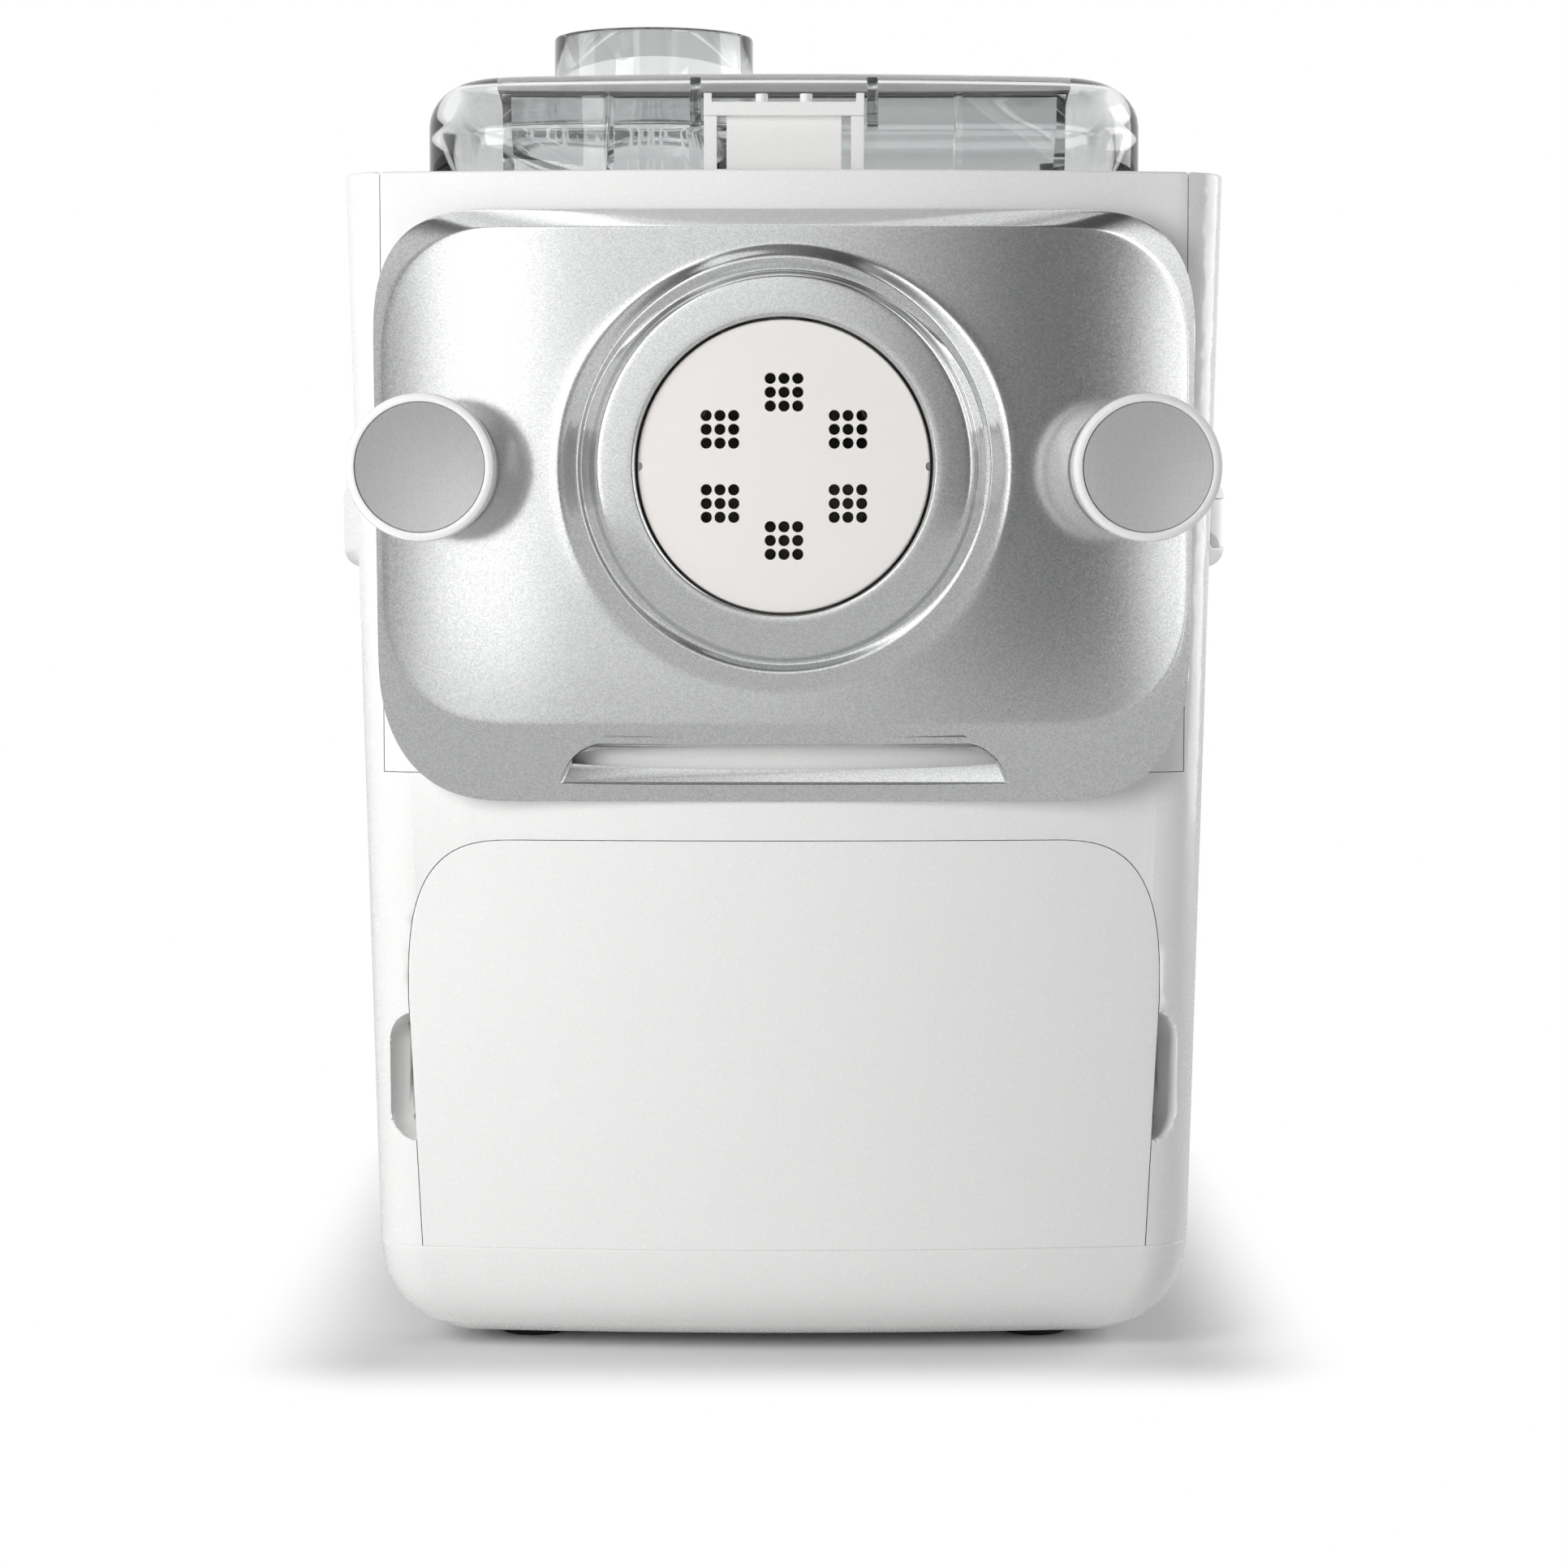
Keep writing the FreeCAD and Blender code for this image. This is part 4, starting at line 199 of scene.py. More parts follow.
# Mirrors and clear parts show the white sweep behind the machine, and in front of it a
# greyer room: bright on the left, dark on the right and overhead.
behind = add_node(tree, "ShaderNodeMapRange", {"interpolation_type": "SMOOTHSTEP"},
                  i0=direction.outputs["Y"], i1=BEHIND[0], i2=BEHIND[1], i3=0.0, i4=1.0)
share = add_node(tree, "ShaderNodeMapRange", i0=direction.outputs["X"],
                 i1=WALLS[0], i2=WALLS[1])
sideways = add_node(tree, "ShaderNodeValToRGB", Fac=share.outputs[0])
for place, tone in WALL_TONES[1:-1]:
    sideways.color_ramp.elements.new(place)
for element, (place, tone) in zip(sideways.color_ramp.elements, WALL_TONES):
    element.position = place
    element.color = (tone, tone, tone, 1)
overhead = add_node(tree, "ShaderNodeMapRange", {"interpolation_type": "SMOOTHSTEP"},
                    i0=direction.outputs["Z"], i1=CEILING[0], i2=CEILING[1],
                    i3=ROOM_STRENGTH, i4=CEILING_STRENGTH)
upward = add_node(tree, "ShaderNodeMapRange", i0=direction.outputs["Z"],
                  i1=HORIZON[0], i2=HORIZON[1], i3=BELOW_AND_ABOVE[0], i4=BELOW_AND_ABOVE[1])
overhead = add_node(tree, "ShaderNodeMath", {"operation": "MULTIPLY"},
                    i0=overhead.outputs[0], i1=upward.outputs[0])
front_room = add_node(tree, "ShaderNodeMath", {"operation": "MULTIPLY"},
                      i0=sideways.outputs[0], i1=overhead.outputs[0])
mirrored = add_node(tree, "ShaderNodeMix", {"data_type": "FLOAT"}, i0=behind.outputs[0],
                    i2=front_room.outputs[0], i3=1.0)
sweep = add_node(tree, "ShaderNodeBackground", Color=(1, 1, 1, 1),
                 Strength=mirrored.outputs[0])
# Diffuse light from the room falls off to the right in the same way
soft = add_node(tree, "ShaderNodeMapRange", i0=direction.outputs["X"], i1=-1.0, i2=1.0,
                i3=SOFT_LEFT_AND_RIGHT[0], i4=SOFT_LEFT_AND_RIGHT[1])
room = add_node(tree, "ShaderNodeBackground", Color=srgb("dcdddd"), Strength=soft.outputs[0])
white_room = add_node(tree, "ShaderNodeBackground", Color=(1, 1, 1, 1), Strength=1.0)
shine = add_node(tree, "ShaderNodeMixShader", i0=seen.outputs[0],
                 i1=room.outputs[0], i2=sweep.outputs[0])
mix = add_node(tree, "ShaderNodeMixShader", i0=path.outputs["Is Camera Ray"],
               i1=shine.outputs[0], i2=white_room.outputs[0])
add_node(tree, "ShaderNodeOutputWorld", Surface=mix.outputs[0])


def soft_box(name, place, target, size, power, mirrored=True):
    """A rectangular lamp, in metres: its place, what it is turned to, its size, its watts."""
    data = bpy.data.lights.new(name, "AREA")
    data.shape = "RECTANGLE"
    data.size = size[0]
    data.size_y = size[1]
    data.energy = power
    lamp = bpy.data.objects.new(name, data)
    bpy.context.scene.collection.objects.link(lamp)
    lamp.location = place
    lamp.rotation_euler = (Vector(target) - Vector(place)).to_track_quat("-Z", "Y").to_euler()
    lamp.visible_glossy = mirrored


soft_box("key", (-0.50, -0.75, 0.38), (0, -0.12, 0.2), (0.35, 0.6), 4.8, mirrored=False)
soft_box("right side box", (1.2, 0.3, 0.5), (0, 0, 0.2), (0.8, 1.0), 8.5)
soft_box("top box", (-0.3, -0.2, 1.5), (0, 0, 0.2), (1.0, 1.0), 2.5)
bpy.context.scene.view_settings.view_transform = "Standard"

# %% [markdown]
# Most of the machine is injection-moulded plastic: glossy white ABS outside, satin where
# it isn't meant to be seen. Moulded plastic shows its colour with hardly any variation;
# what gives it away is a soft, faintly uneven gloss. So the colour is almost flat, and the
# roughness and a very shallow bump carry a slow swell and a fine spark-eroded grain.

# %% Moulded plastics
def new_material(name):
    """An empty material with its node tree, Object coordinates and shader."""
    material = bpy.data.materials.new(name)
    material.use_nodes = True
    tree = material.node_tree
    tree.nodes.clear()
    place = add_node(tree, "ShaderNodeTexCoord").outputs["Object"]
    shader = add_node(tree, "ShaderNodeBsdfPrincipled")
    add_node(tree, "ShaderNodeOutputMaterial", Surface=shader.outputs[0])
    return material, tree, place, shader


SWELL = 40.0
POLISH = 0.06


def moulded(name, code, roughness, grain, depth, ior=1.53, coat=0.0, variation=0.015):
    """Moulded plastic: grain is the texture's spacing in millimetres, depth its height."""
    material, tree, place, shader = new_material(name)
    swell = add_node(tree, "ShaderNodeTexNoise", Vector=place, Scale=1 / (SWELL * MM),
                     Detail=2.0)
    fine = add_node(tree, "ShaderNodeTexNoise", Vector=place, Scale=1 / (grain * MM),
                    Detail=3.0)
    red, green, blue, alpha = srgb(code)
    low = (red * (1 - variation), green * (1 - variation), blue * (1 - variation), alpha)
    tint = add_node(tree, "ShaderNodeMix", {"data_type": "RGBA"}, i0=swell.outputs["Fac"],
                    i6=low, i7=(red, green, blue, alpha))
    tree.links.new(tint.outputs[2], shader.inputs["Base Color"])
    gloss = add_node(tree, "ShaderNodeMapRange", i0=fine.outputs["Fac"], i1=0.3, i2=0.7,
                     i3=roughness * 0.9, i4=roughness * 1.1)
    tree.links.new(gloss.outputs[0], shader.inputs["Roughness"])
    bump = add_node(tree, "ShaderNodeBump", Height=fine.outputs["Fac"], Distance=depth * MM,
                    Strength=0.5)
    tree.links.new(bump.outputs[0], shader.inputs["Normal"])
    shader.inputs["IOR"].default_value = ior
    shader.inputs["Coat Weight"].default_value = coat
    shader.inputs["Coat Roughness"].default_value = POLISH
    return material


# Acrylonitrile butadiene styrene from a polished mould: bright white and glossy
white_abs = moulded("glossy white ABS", "f4f4f3", 0.26, 0.8, 0.004, coat=0.25)
# The same plastic from an eroded mould: satin
satin_abs = moulded("satin white ABS", "eeeeec", 0.46, 0.6, 0.02)
# Acetal for what rubs and for food: a warmer white with a waxy sheen
acetal = moulded("white acetal", "f4f1ee", 0.4, 0.5, 0.008, ior=1.48)
# Nylon gears keep the resin's cream colour
nylon = moulded("natural nylon", "dcd6c6", 0.42, 0.5, 0.015)
# Glass-filled grey housings of the drive
grey_plastic = moulded("glass-filled grey nylon", "77797a", 0.55, 0.7, 0.05, variation=0.06)
# Silicone seals are pale grey and soft
silicone = moulded("pale grey silicone", "c9c9c6", 0.6, 0.7, 0.02, ior=1.41, variation=0.03)
# Feet of black rubber
black_rubber = moulded("black rubber", "1c1c1d", 0.75, 0.6, 0.05, ior=1.52, variation=0.15)
# The display's cell is nearly black glass-like plastic: a deep mirror
display_black = moulded("display cell", "0b0c0d", 0.12, 1.0, 0.001, coat=0.6, variation=0.1)
print("plastics made")

# %% [markdown]
# The front panel and the knobs' insets are sprayed with silver paint. The flakes in it
# are far too fine to resolve, so they are drawn as coarse as a third of a millimetre: cells
# with slightly different brightness and gloss, with a soft cloud mixed in.

# %% Silver paint
FLAKE = 0.3
CLOUD = 0.7
CLOUD_SHARE = 0.25
METAL_SHARE = 0.88


def silver_paint(name, code, roughness, sparkle):
    """Sprayed metallic paint: sparkle is how far its flakes differ in brightness."""
    material, tree, place, shader = new_material(name)
    flakes = add_node(tree, "ShaderNodeTexVoronoi", Vector=place, Scale=1 / (FLAKE * MM))
    value = add_node(tree, "ShaderNodeSeparateColor", Color=flakes.outputs["Color"])
    cloud = add_node(tree, "ShaderNodeTexNoise", Vector=place, Scale=1 / (CLOUD * MM),
                     Detail=2.0)
    both = add_node(tree, "ShaderNodeMix", {"data_type": "FLOAT"}, i0=CLOUD_SHARE,
                    i2=value.outputs[0], i3=cloud.outputs["Fac"])
    level = add_node(tree, "ShaderNodeMapRange", i0=both.outputs[0], i1=0.1, i2=0.9,
                     i3=0.0, i4=1.0)
    colour = srgb(code)[:3]
    dark = (*(part * (1 - sparkle) for part in colour), 1)
    bright = (*(min(part * (1 + sparkle), 1) for part in colour), 1)
    tint = add_node(tree, "ShaderNodeMix", {"data_type": "RGBA"}, i0=level.outputs[0],
                    i6=dark, i7=bright)
    tree.links.new(tint.outputs[2], shader.inputs["Base Color"])
    gloss = add_node(tree, "ShaderNodeMapRange", i0=value.outputs[1], i3=roughness * 0.88,
                     i4=roughness * 1.12)
    tree.links.new(gloss.outputs[0], shader.inputs["Roughness"])
    bump = add_node(tree, "ShaderNodeBump", Height=both.outputs[0], Distance=0.002 * MM,
                    Strength=0.3)
    tree.links.new(bump.outputs[0], shader.inputs["Normal"])
    shader.inputs["Metallic"].default_value = METAL_SHARE
    return material


# The panel's paint is smooth enough to mirror the room in soft bands
silver = silver_paint("silver flake paint", "d2d3d3", 0.13, 0.13)
# The knobs' insets are satin: they only glow
silver_inset = silver_paint("satin silver inset", "c6c6c6", 0.34, 0.06)
print("silver paints made")

# %% [markdown]
# The lid, the tub and the little funnel are clear copolyester. It bends light like other
# clear plastics, and its walls are real walls here, so edges go dark and flat areas stay
# clear. A trace of grey in its colour stands for the depth of the material.

# %% Clear plastic
CLEAR_SWELL = 25.0


def clear_plastic(name, code, roughness):
    """Polished clear plastic: its gloss and its surface swell a little."""
    material, tree, place, shader = new_material(name)
    swell = add_node(tree, "ShaderNodeTexNoise", Vector=place, Scale=1 / (CLEAR_SWELL * MM),
                     Detail=1.0)
    gloss = add_node(tree, "ShaderNodeMapRange", i0=swell.outputs["Fac"], i3=roughness * 0.7,
                     i4=roughness * 1.3)
    tree.links.new(gloss.outputs[0], shader.inputs["Roughness"])
    bump = add_node(tree, "ShaderNodeBump", Height=swell.outputs["Fac"], Distance=0.05 * MM,
                    Strength=0.3)
    tree.links.new(bump.outputs[0], shader.inputs["Normal"])
    shader.inputs["Base Color"].default_value = srgb(code)
    shader.inputs["IOR"].default_value = 1.5
    shader.inputs["Transmission Weight"].default_value = 1.0
    return material


clear_lid = clear_plastic("clear copolyester", "f2f3f3", 0.02)
# The clips are the lid's own clear plastic; their darker grey is painted shade, standing in for
# the dark reflections that make the thin hooks show
painted_shade_clip = clear_plastic("clear copolyester clip with painted shade", "b9bcbc", 0.05)
clear_tub = clear_plastic("clear copolyester tub", "e4e6e6", 0.04)
# The pane over the controls is back-painted acrylic: grey-green and deeply glossy
smoked = moulded("smoked acrylic", "8f9a96", 0.08, 1.0, 0.001, ior=1.49, coat=0.8,
                 variation=0.05)
print("clear plastics made")

# %% [markdown]
# Inside are turned steel, stacked laminations, sintered bronze and a green circuit board.
# Turned parts show fine rings round their axis, which here always runs along the depth.

# %% Metals and board
SMUDGE = 9.0
TARNISH = 0.86
# A wave texture repeats every 0.314 units at a scale of one
WAVE = 0.314


def turned_metal(name, code, roughness, ring, depth):
    """Machined metal with tool marks ring millimetres apart along the shaft's direction."""
    material, tree, place, shader = new_material(name)
    marks = add_node(tree, "ShaderNodeTexWave", {"bands_direction": "Y"}, Vector=place,
                     Scale=WAVE / (ring * MM), Distortion=1.5, Detail=2.0)
    smudge = add_node(tree, "ShaderNodeTexNoise", Vector=place, Scale=1 / (SMUDGE * MM),
                      Detail=4.0)
    red, green, blue = srgb(code)[:3]
    tint = add_node(tree, "ShaderNodeMix", {"data_type": "RGBA"}, i0=smudge.outputs["Fac"],
                    i6=(red * TARNISH, green * TARNISH, blue * TARNISH, 1),
                    i7=(red, green, blue, 1))
    tree.links.new(tint.outputs[2], shader.inputs["Base Color"])
    gloss = add_node(tree, "ShaderNodeMapRange", i0=smudge.outputs["Fac"], i3=roughness * 0.8,
                     i4=roughness * 1.25)
    tree.links.new(gloss.outputs[0], shader.inputs["Roughness"])
    bump = add_node(tree, "ShaderNodeBump", Height=marks.outputs["Fac"], Distance=depth * MM,
                    Strength=0.4)
    tree.links.new(bump.outputs[0], shader.inputs["Normal"])
    shader.inputs["Metallic"].default_value = 1.0
    return material


steel = turned_metal("turned steel", "c0bfbc", 0.28, 0.4, 0.01)
laminated = turned_metal("stacked laminations", "6c6d70", 0.45, 0.65, 0.08)
bronze = turned_metal("sintered bronze", "b98a52", 0.42, 0.8, 0.02)
zinc = turned_metal("zinc-plated steel", "b4b8bc", 0.36, 1.5, 0.004)
COPPER_AREA = 7.0


def circuit_board():
    """Green solder mask in two greens, with a slight step where the copper below ends."""
    material, tree, place, shader = new_material("green solder mask")
    copper = add_node(tree, "ShaderNodeTexVoronoi", {"distance": "CHEBYCHEV"}, Vector=place,
                      Scale=1 / (COPPER_AREA * MM))
    level = add_node(tree, "ShaderNodeMapRange", i0=copper.outputs["Distance"],
                     i1=0.3, i2=0.36)
    tint = add_node(tree, "ShaderNodeMix", {"data_type": "RGBA"}, i0=level.outputs[0],
                    i6=srgb("2c7a45"), i7=srgb("1d5a33"))
    tree.links.new(tint.outputs[2], shader.inputs["Base Color"])
    bump = add_node(tree, "ShaderNodeBump", Height=level.outputs[0], Distance=0.03 * MM,
                    Strength=0.5)
    tree.links.new(bump.outputs[0], shader.inputs["Normal"])
    shader.inputs["Roughness"].default_value = 0.3
    return material


solder_mask = circuit_board()
print("materials:", len(bpy.data.materials))

# %% [markdown]
# Every piece from the frame gets its material here, also those that a new piece will
# stand for and those that nobody sees until the machine is opened.

# %% Materials for the frame's pieces
finishes = {
    white_abs: ["main_housing", "front_fascia", "base_tray", "rear_cover", "top_deck",
                "drawer_front", "left_side_pod", "right_side_pod", "left_knob", "right_knob",
                "lid_catch_frame"],
    satin_abs: ["panel_liner", "drawer_box", "drawer_runners", "clamp_receivers", "lid_switch",
                "power_key", "start_key", "program_key"],
    acetal: ["shaping_disc", "mixing_paddle", "extrusion_screw", "extrusion_tube", "knob_bushes"],
    nylon: ["output_gear", "idler_gear", "cooling_fan"],
    grey_plastic: ["gearbox_case", "gearbox_cover", "motor_end_cap", "cord_gland"],
    silicone: ["lid_seal", "tube_seal", "disc_seal", "shaft_seal", "key_domes"],
    black_rubber: ["rubber_feet"],
    display_black: ["display_module"],
    silver: ["front_panel"],
    silver_inset: ["left_knob_inset", "right_knob_inset"],
    clear_lid: ["lid_cover", "liquid_funnel"],
    clear_tub: ["mixing_tub"],
    smoked: ["control_glass"],
    steel: ["output_shaft", "rotor_shaft", "idler_pinion", "left_clamp_bolt", "right_clamp_bolt",
            "output_bearings"],
    zinc: ["motor_can", "motor_bracket", "base_screws", "cover_screws"],
    laminated: ["motor_stator", "rotor_core"],
    bronze: ["shaft_bushes"],
    solder_mask: ["control_board", "power_board"],
}


def paint(piece, material):
    """Puts one material in all of a piece's slots."""
    if not piece.material_slots:
        piece.data.materials.append(material)
    for slot in piece.material_slots:
        slot.material = material


painted = 0
for material, nodes in finishes.items():
    for node in nodes:
        paint(bpy.data.objects[node], material)
        painted += 1
print("painted", painted, "of", len(frame["nodes"]))

# %% [markdown]
# Two ways of modelling serve the whole machine. Round and bowed shells are grown: a circle
# primitive is extruded ring by ring, and each ring is laid where the section of the real
# moulding runs. Pieces that the frame already forms well are dressed: a copy is merged,
# its flat faces are joined, and its edges get the small radius that every mould leaves.

# %% Growing and dressing
home = {}
for body, nodes in frame["record"]["behaviour"]["bodies"].items():
    for node in nodes:
        home[node] = body
covered = set()


def use(piece):
    """Selects one object alone and makes it the active one."""
    deselect()
    piece.select_set(True)
    bpy.context.view_layer.objects.active = piece


def modify(piece, kind, **settings):
    """Adds a modifier with its settings and applies it."""
    use(piece)
    modifier = piece.modifiers.new(kind.title(), kind)
    for name, value in settings.items():
        setattr(modifier, name, value)
    bpy.ops.object.modifier_apply(modifier=modifier.name)


def start_ring(name, count, place):
    """A circle primitive laid out by place(turn), where turn runs from 0 to 1 round it."""
    deselect()
    bpy.ops.mesh.primitive_circle_add(vertices=count, radius=1.0)
    piece = bpy.context.object
    piece.name = name
    bpy.ops.object.mode_set(mode="EDIT")
    mesh = bmesh.from_edit_mesh(piece.data)
    turn = mesh.verts.layers.float.new("turn")
    for vertex in mesh.verts:
        share = math.atan2(vertex.co.y, vertex.co.x) / (2 * math.pi)
        vertex[turn] = round(share * count) % count / count
        vertex.co = Vector(place(vertex[turn])) * MM
    bmesh.update_edit_mesh(piece.data)
    return piece


def grow_ring(piece, place):
    """Extrudes the selected ring and lays the new one out by place(turn)."""
    bpy.ops.mesh.extrude_region_move()
    mesh = bmesh.from_edit_mesh(piece.data)
    turn = mesh.verts.layers.float["turn"]
    for vertex in mesh.verts:
        if vertex.select:
            vertex.co = Vector(place(vertex[turn])) * MM
    bmesh.update_edit_mesh(piece.data)


def grown(name, count, places, ends="fill"):
    """A shell grown through a list of rings; its two ends are filled, joined or left open."""
    piece = start_ring(name, count, places[0])
    for place in places[1:]:
        grow_ring(piece, place)
    if ends == "join":
        bpy.ops.mesh.select_all(action="DESELECT")
        bpy.ops.mesh.select_non_manifold()
        bpy.ops.mesh.bridge_edge_loops()
    bpy.ops.mesh.select_all(action="SELECT")
    if ends == "fill":
        bpy.ops.mesh.fill_holes(sides=0)
    bpy.ops.mesh.normals_make_consistent(inside=False)
    bpy.ops.object.mode_set(mode="OBJECT")
    piece.data.attributes.remove(piece.data.attributes["turn"])
    return piece


def round_y(x, z, section):
    """Rings about an axis along Y: one for each (radius, y) of the section."""
    def ring(radius, y):
        return lambda turn: (x + radius * math.cos(turn * 2 * math.pi), y,
                             z + radius * math.sin(turn * 2 * math.pi))
    return [ring(radius, y) for radius, y in section]


def combine(piece, other, operation):
    """Joins a piece with another, or cuts it by the other, and deletes the other."""
    modify(piece, "BOOLEAN", object=other, operation=operation, solver="EXACT")
    bpy.data.objects.remove(other, do_unlink=True)


def finish_piece(piece, material, body, *nodes, angle=35):
    """Smooths a piece, paints it, hides the nodes that it stands for and lets it ride."""
    use(piece)
    bpy.ops.object.shade_smooth_by_angle(angle=math.radians(angle))
    paint(piece, material)
    if nodes:
        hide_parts(*nodes)
        covered.update(nodes)
    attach(piece, body)


MERGE_REACH = 0.004
FLAT_ANGLE = 0.2
SHARP_ANGLE = 35


def dressed(node, material, width=0.0, where=None, join=True):
    """A copy of a frame node with joined faces and, where width is set, rounded edges."""
    piece = bpy.data.objects.new(node + "_moulding", bpy.data.objects[node].data.copy())
    bpy.context.scene.collection.objects.link(piece)
    use(piece)
    bpy.ops.object.mode_set(mode="EDIT")
    bpy.ops.mesh.select_all(action="SELECT")
    bpy.ops.mesh.remove_doubles(threshold=MERGE_REACH * MM)
    if join:
        bpy.ops.mesh.dissolve_limited(angle_limit=math.radians(FLAT_ANGLE))
    bpy.ops.mesh.select_all(action="DESELECT")
    if width:
        bpy.ops.mesh.select_mode(type="EDGE")
        bpy.ops.mesh.edges_select_sharp(sharpness=math.radians(SHARP_ANGLE))
        mesh = bmesh.from_edit_mesh(piece.data)
        if where:
            for edge in mesh.edges:
                middle = (edge.verts[0].co + edge.verts[1].co) / (2 * MM)
                if edge.select and not where(middle):
                    edge.select = False
        mesh.select_flush(False)
        bmesh.update_edit_mesh(piece.data)
        bpy.ops.mesh.bevel(offset=width * MM, segments=2, clamp_overlap=True)
    bpy.ops.object.mode_set(mode="OBJECT")
    finish_piece(piece, material, home[node], node)
    if width or not join:
        modify(piece, "WEIGHTED_NORMAL", keep_sharp=True)
    return piece


print("bodies:", len(set(home.values())))

# %% [markdown]
# The white body is three mouldings: a housing, a fascia that the silver panel sits on, and
# a tray that rolls under. Their seams are hairlines, so the edges there stay crisp, while
# the top rim and the drawer's edge have a radius that catches the light.

# %% White body
TOP_RIM_Z = 300.5
TRAY_SEAM_Z = 28.5
CATCH_BAR_Z = 308.0
CATCH_DROP = 2.0
dressed("main_housing", white_abs, 0.8, lambda point: point.z > TOP_RIM_Z)
dressed("front_fascia", white_abs, 0.8, lambda point: point.z > TOP_RIM_Z)
dressed("base_tray", white_abs, 0.3, lambda point: point.z > TRAY_SEAM_Z,
        join=False)
dressed("drawer_front", white_abs, 0.35)
dressed("rear_cover", white_abs, 0.4)
dressed("top_deck", satin_abs, 0.5)
# The catch frame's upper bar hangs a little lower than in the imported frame
catch = dressed("lid_catch_frame", white_abs, 0.35)
for vertex in catch.data.vertices:
    if vertex.co.z > CATCH_BAR_Z * MM:
        vertex.co.z -= CATCH_DROP * MM
for key in ("power_key", "start_key", "program_key"):
    dressed(key, satin_abs, 0.15)
print("body dressed")

# %% [markdown]
# A pod lies along each side, a capsule seen from the side. It starts flush with the seam at
# the front and swells out towards the back, so its rings are laid by their distance in from
# the capsule's outline, and their depth follows the swell. The right pod has a seat for the
# pane over its display, and a bore for each of its three keys goes through both.

# %% Side pods
POD_Z = 213.0
POD_HALF = 11.5
POD_FRONT_Y = -137.0
POD_REAR_Y = 33.0
POD_OUT = 116.3
POD_DEPTH = 14.0
POD_ROUND = 5.0
POD_SWEEP = 11.0
POD_SWEEP_Y = -80.0
POD_COUNT = 96
GLASS_RIM = 4.6
KEY_PLACES = (-20.0, -6.0, 8.0)
POD_BORE = 5.2
GLASS_BORE = 5.15
BORE_ENDS = (110.0, 120.0)


def pod_face(y):
    """How far out the pod's face lies: level behind, swept in towards the front."""
    sweep = max(0.0, (POD_SWEEP_Y - y) / (POD_SWEEP_Y - POD_FRONT_Y))
    return POD_OUT - POD_SWEEP * sweep ** 2.4


def pod_ring(side, inset, out):
    """Ring of the capsule, inset from its outline, at the depth that out(y) gives."""
    quarter = POD_COUNT // 4
    radius = max(POD_HALF - inset, 0.0)
    front = POD_FRONT_Y + POD_HALF
    rear = POD_REAR_Y - POD_HALF

    def ring(turn):
        index = round(turn * POD_COUNT) % POD_COUNT
        part, place = divmod(index, quarter)
        share = place / quarter
        if part == 0:
            y = front - radius * math.sin(math.pi * share)
            z = POD_Z + radius * math.cos(math.pi * share)
        elif part == 1:
            y = front + (rear - front) * share
            z = POD_Z - radius
        elif part == 2:
            y = rear + radius * math.sin(math.pi * share)
            z = POD_Z - radius * math.cos(math.pi * share)
        else:
            y = rear + (front - rear) * share
            z = POD_Z + radius
        return side * out(y), y, z
    return ring


def weld(piece):
    """Closes the line that a capsule's last ring shrinks to."""
    use(piece)
    bpy.ops.object.mode_set(mode="EDIT")
    bpy.ops.mesh.select_all(action="SELECT")
    bpy.ops.mesh.remove_doubles(threshold=0.01 * MM)
    bpy.ops.mesh.normals_make_consistent(inside=False)
    bpy.ops.object.mode_set(mode="OBJECT")


def capsule(name, side, steps):
    """A closed capsule from (inset, drop) steps, drop being the depth under the face."""
    rings = [pod_ring(side, inset, lambda y, drop=drop: pod_face(y) - drop)
             for inset, drop in steps]
    piece = grown(name, POD_COUNT, rings, ends="open")
    weld(piece)
    return piece


pod_steps = [(POD_HALF, POD_DEPTH), (6.0, POD_DEPTH), (0.0, POD_DEPTH), (0.0, 9.0)]
for step in range(9):
    angle = math.pi / 2 * step / 8
    pod_steps.append((POD_ROUND * (1 - math.cos(angle)), POD_ROUND * (1 - math.sin(angle))))
left_pod = capsule("left_pod_shell", -1, pod_steps + [(8.0, 0.0), (POD_HALF, 0.0)])
finish_piece(left_pod, white_abs, home["left_side_pod"], "left_side_pod", angle=50)
right_pod = capsule("right_pod_shell", 1, pod_steps + [
    (GLASS_RIM + 0.5, 0.0), (GLASS_RIM + 0.6, 0.1), (GLASS_RIM + 0.6, 2.1), (POD_HALF, 2.1)])
glass = capsule("glass_pane", 1, [
    (POD_HALF, 2.0), (GLASS_RIM + 0.75, 2.0), (GLASS_RIM + 0.75, 0.6),
    (GLASS_RIM + 0.95, 0.5), (POD_HALF, 0.5)])
for y in KEY_PLACES:
    for piece, radius in ((right_pod, POD_BORE), (glass, GLASS_BORE)):
        rings = [lambda turn, x=x: (x, y + radius * math.cos(turn * 2 * math.pi),
                                    POD_Z + radius * math.sin(turn * 2 * math.pi))
                 for x in BORE_ENDS]
        combine(piece, grown("key_bore", 48, rings), "DIFFERENCE")
finish_piece(right_pod, white_abs, home["right_side_pod"], "right_side_pod", angle=50)
finish_piece(glass, smoked, home["control_glass"], "control_glass")
# The display lies under the pane, so it follows the pod's swept face
display = dressed("display_module", display_black)
for vertex in display.data.vertices:
    vertex.co.x += (pod_face(vertex.co.y / MM) - POD_OUT - 0.1) * MM
print("pods:", len(left_pod.data.polygons), "and", len(right_pod.data.polygons), "faces")

# %% [markdown]
# The silver panel is one sprayed moulding: a main face bowed like the body, a sloping band
# round it, a rim that runs back to the body, and in the middle a round nose with a channel
# and a crest. Its mirror bands show every kink, so it is grown from few rings and
# smoothed by subdivision, with two rings close together where an edge should stay tight.

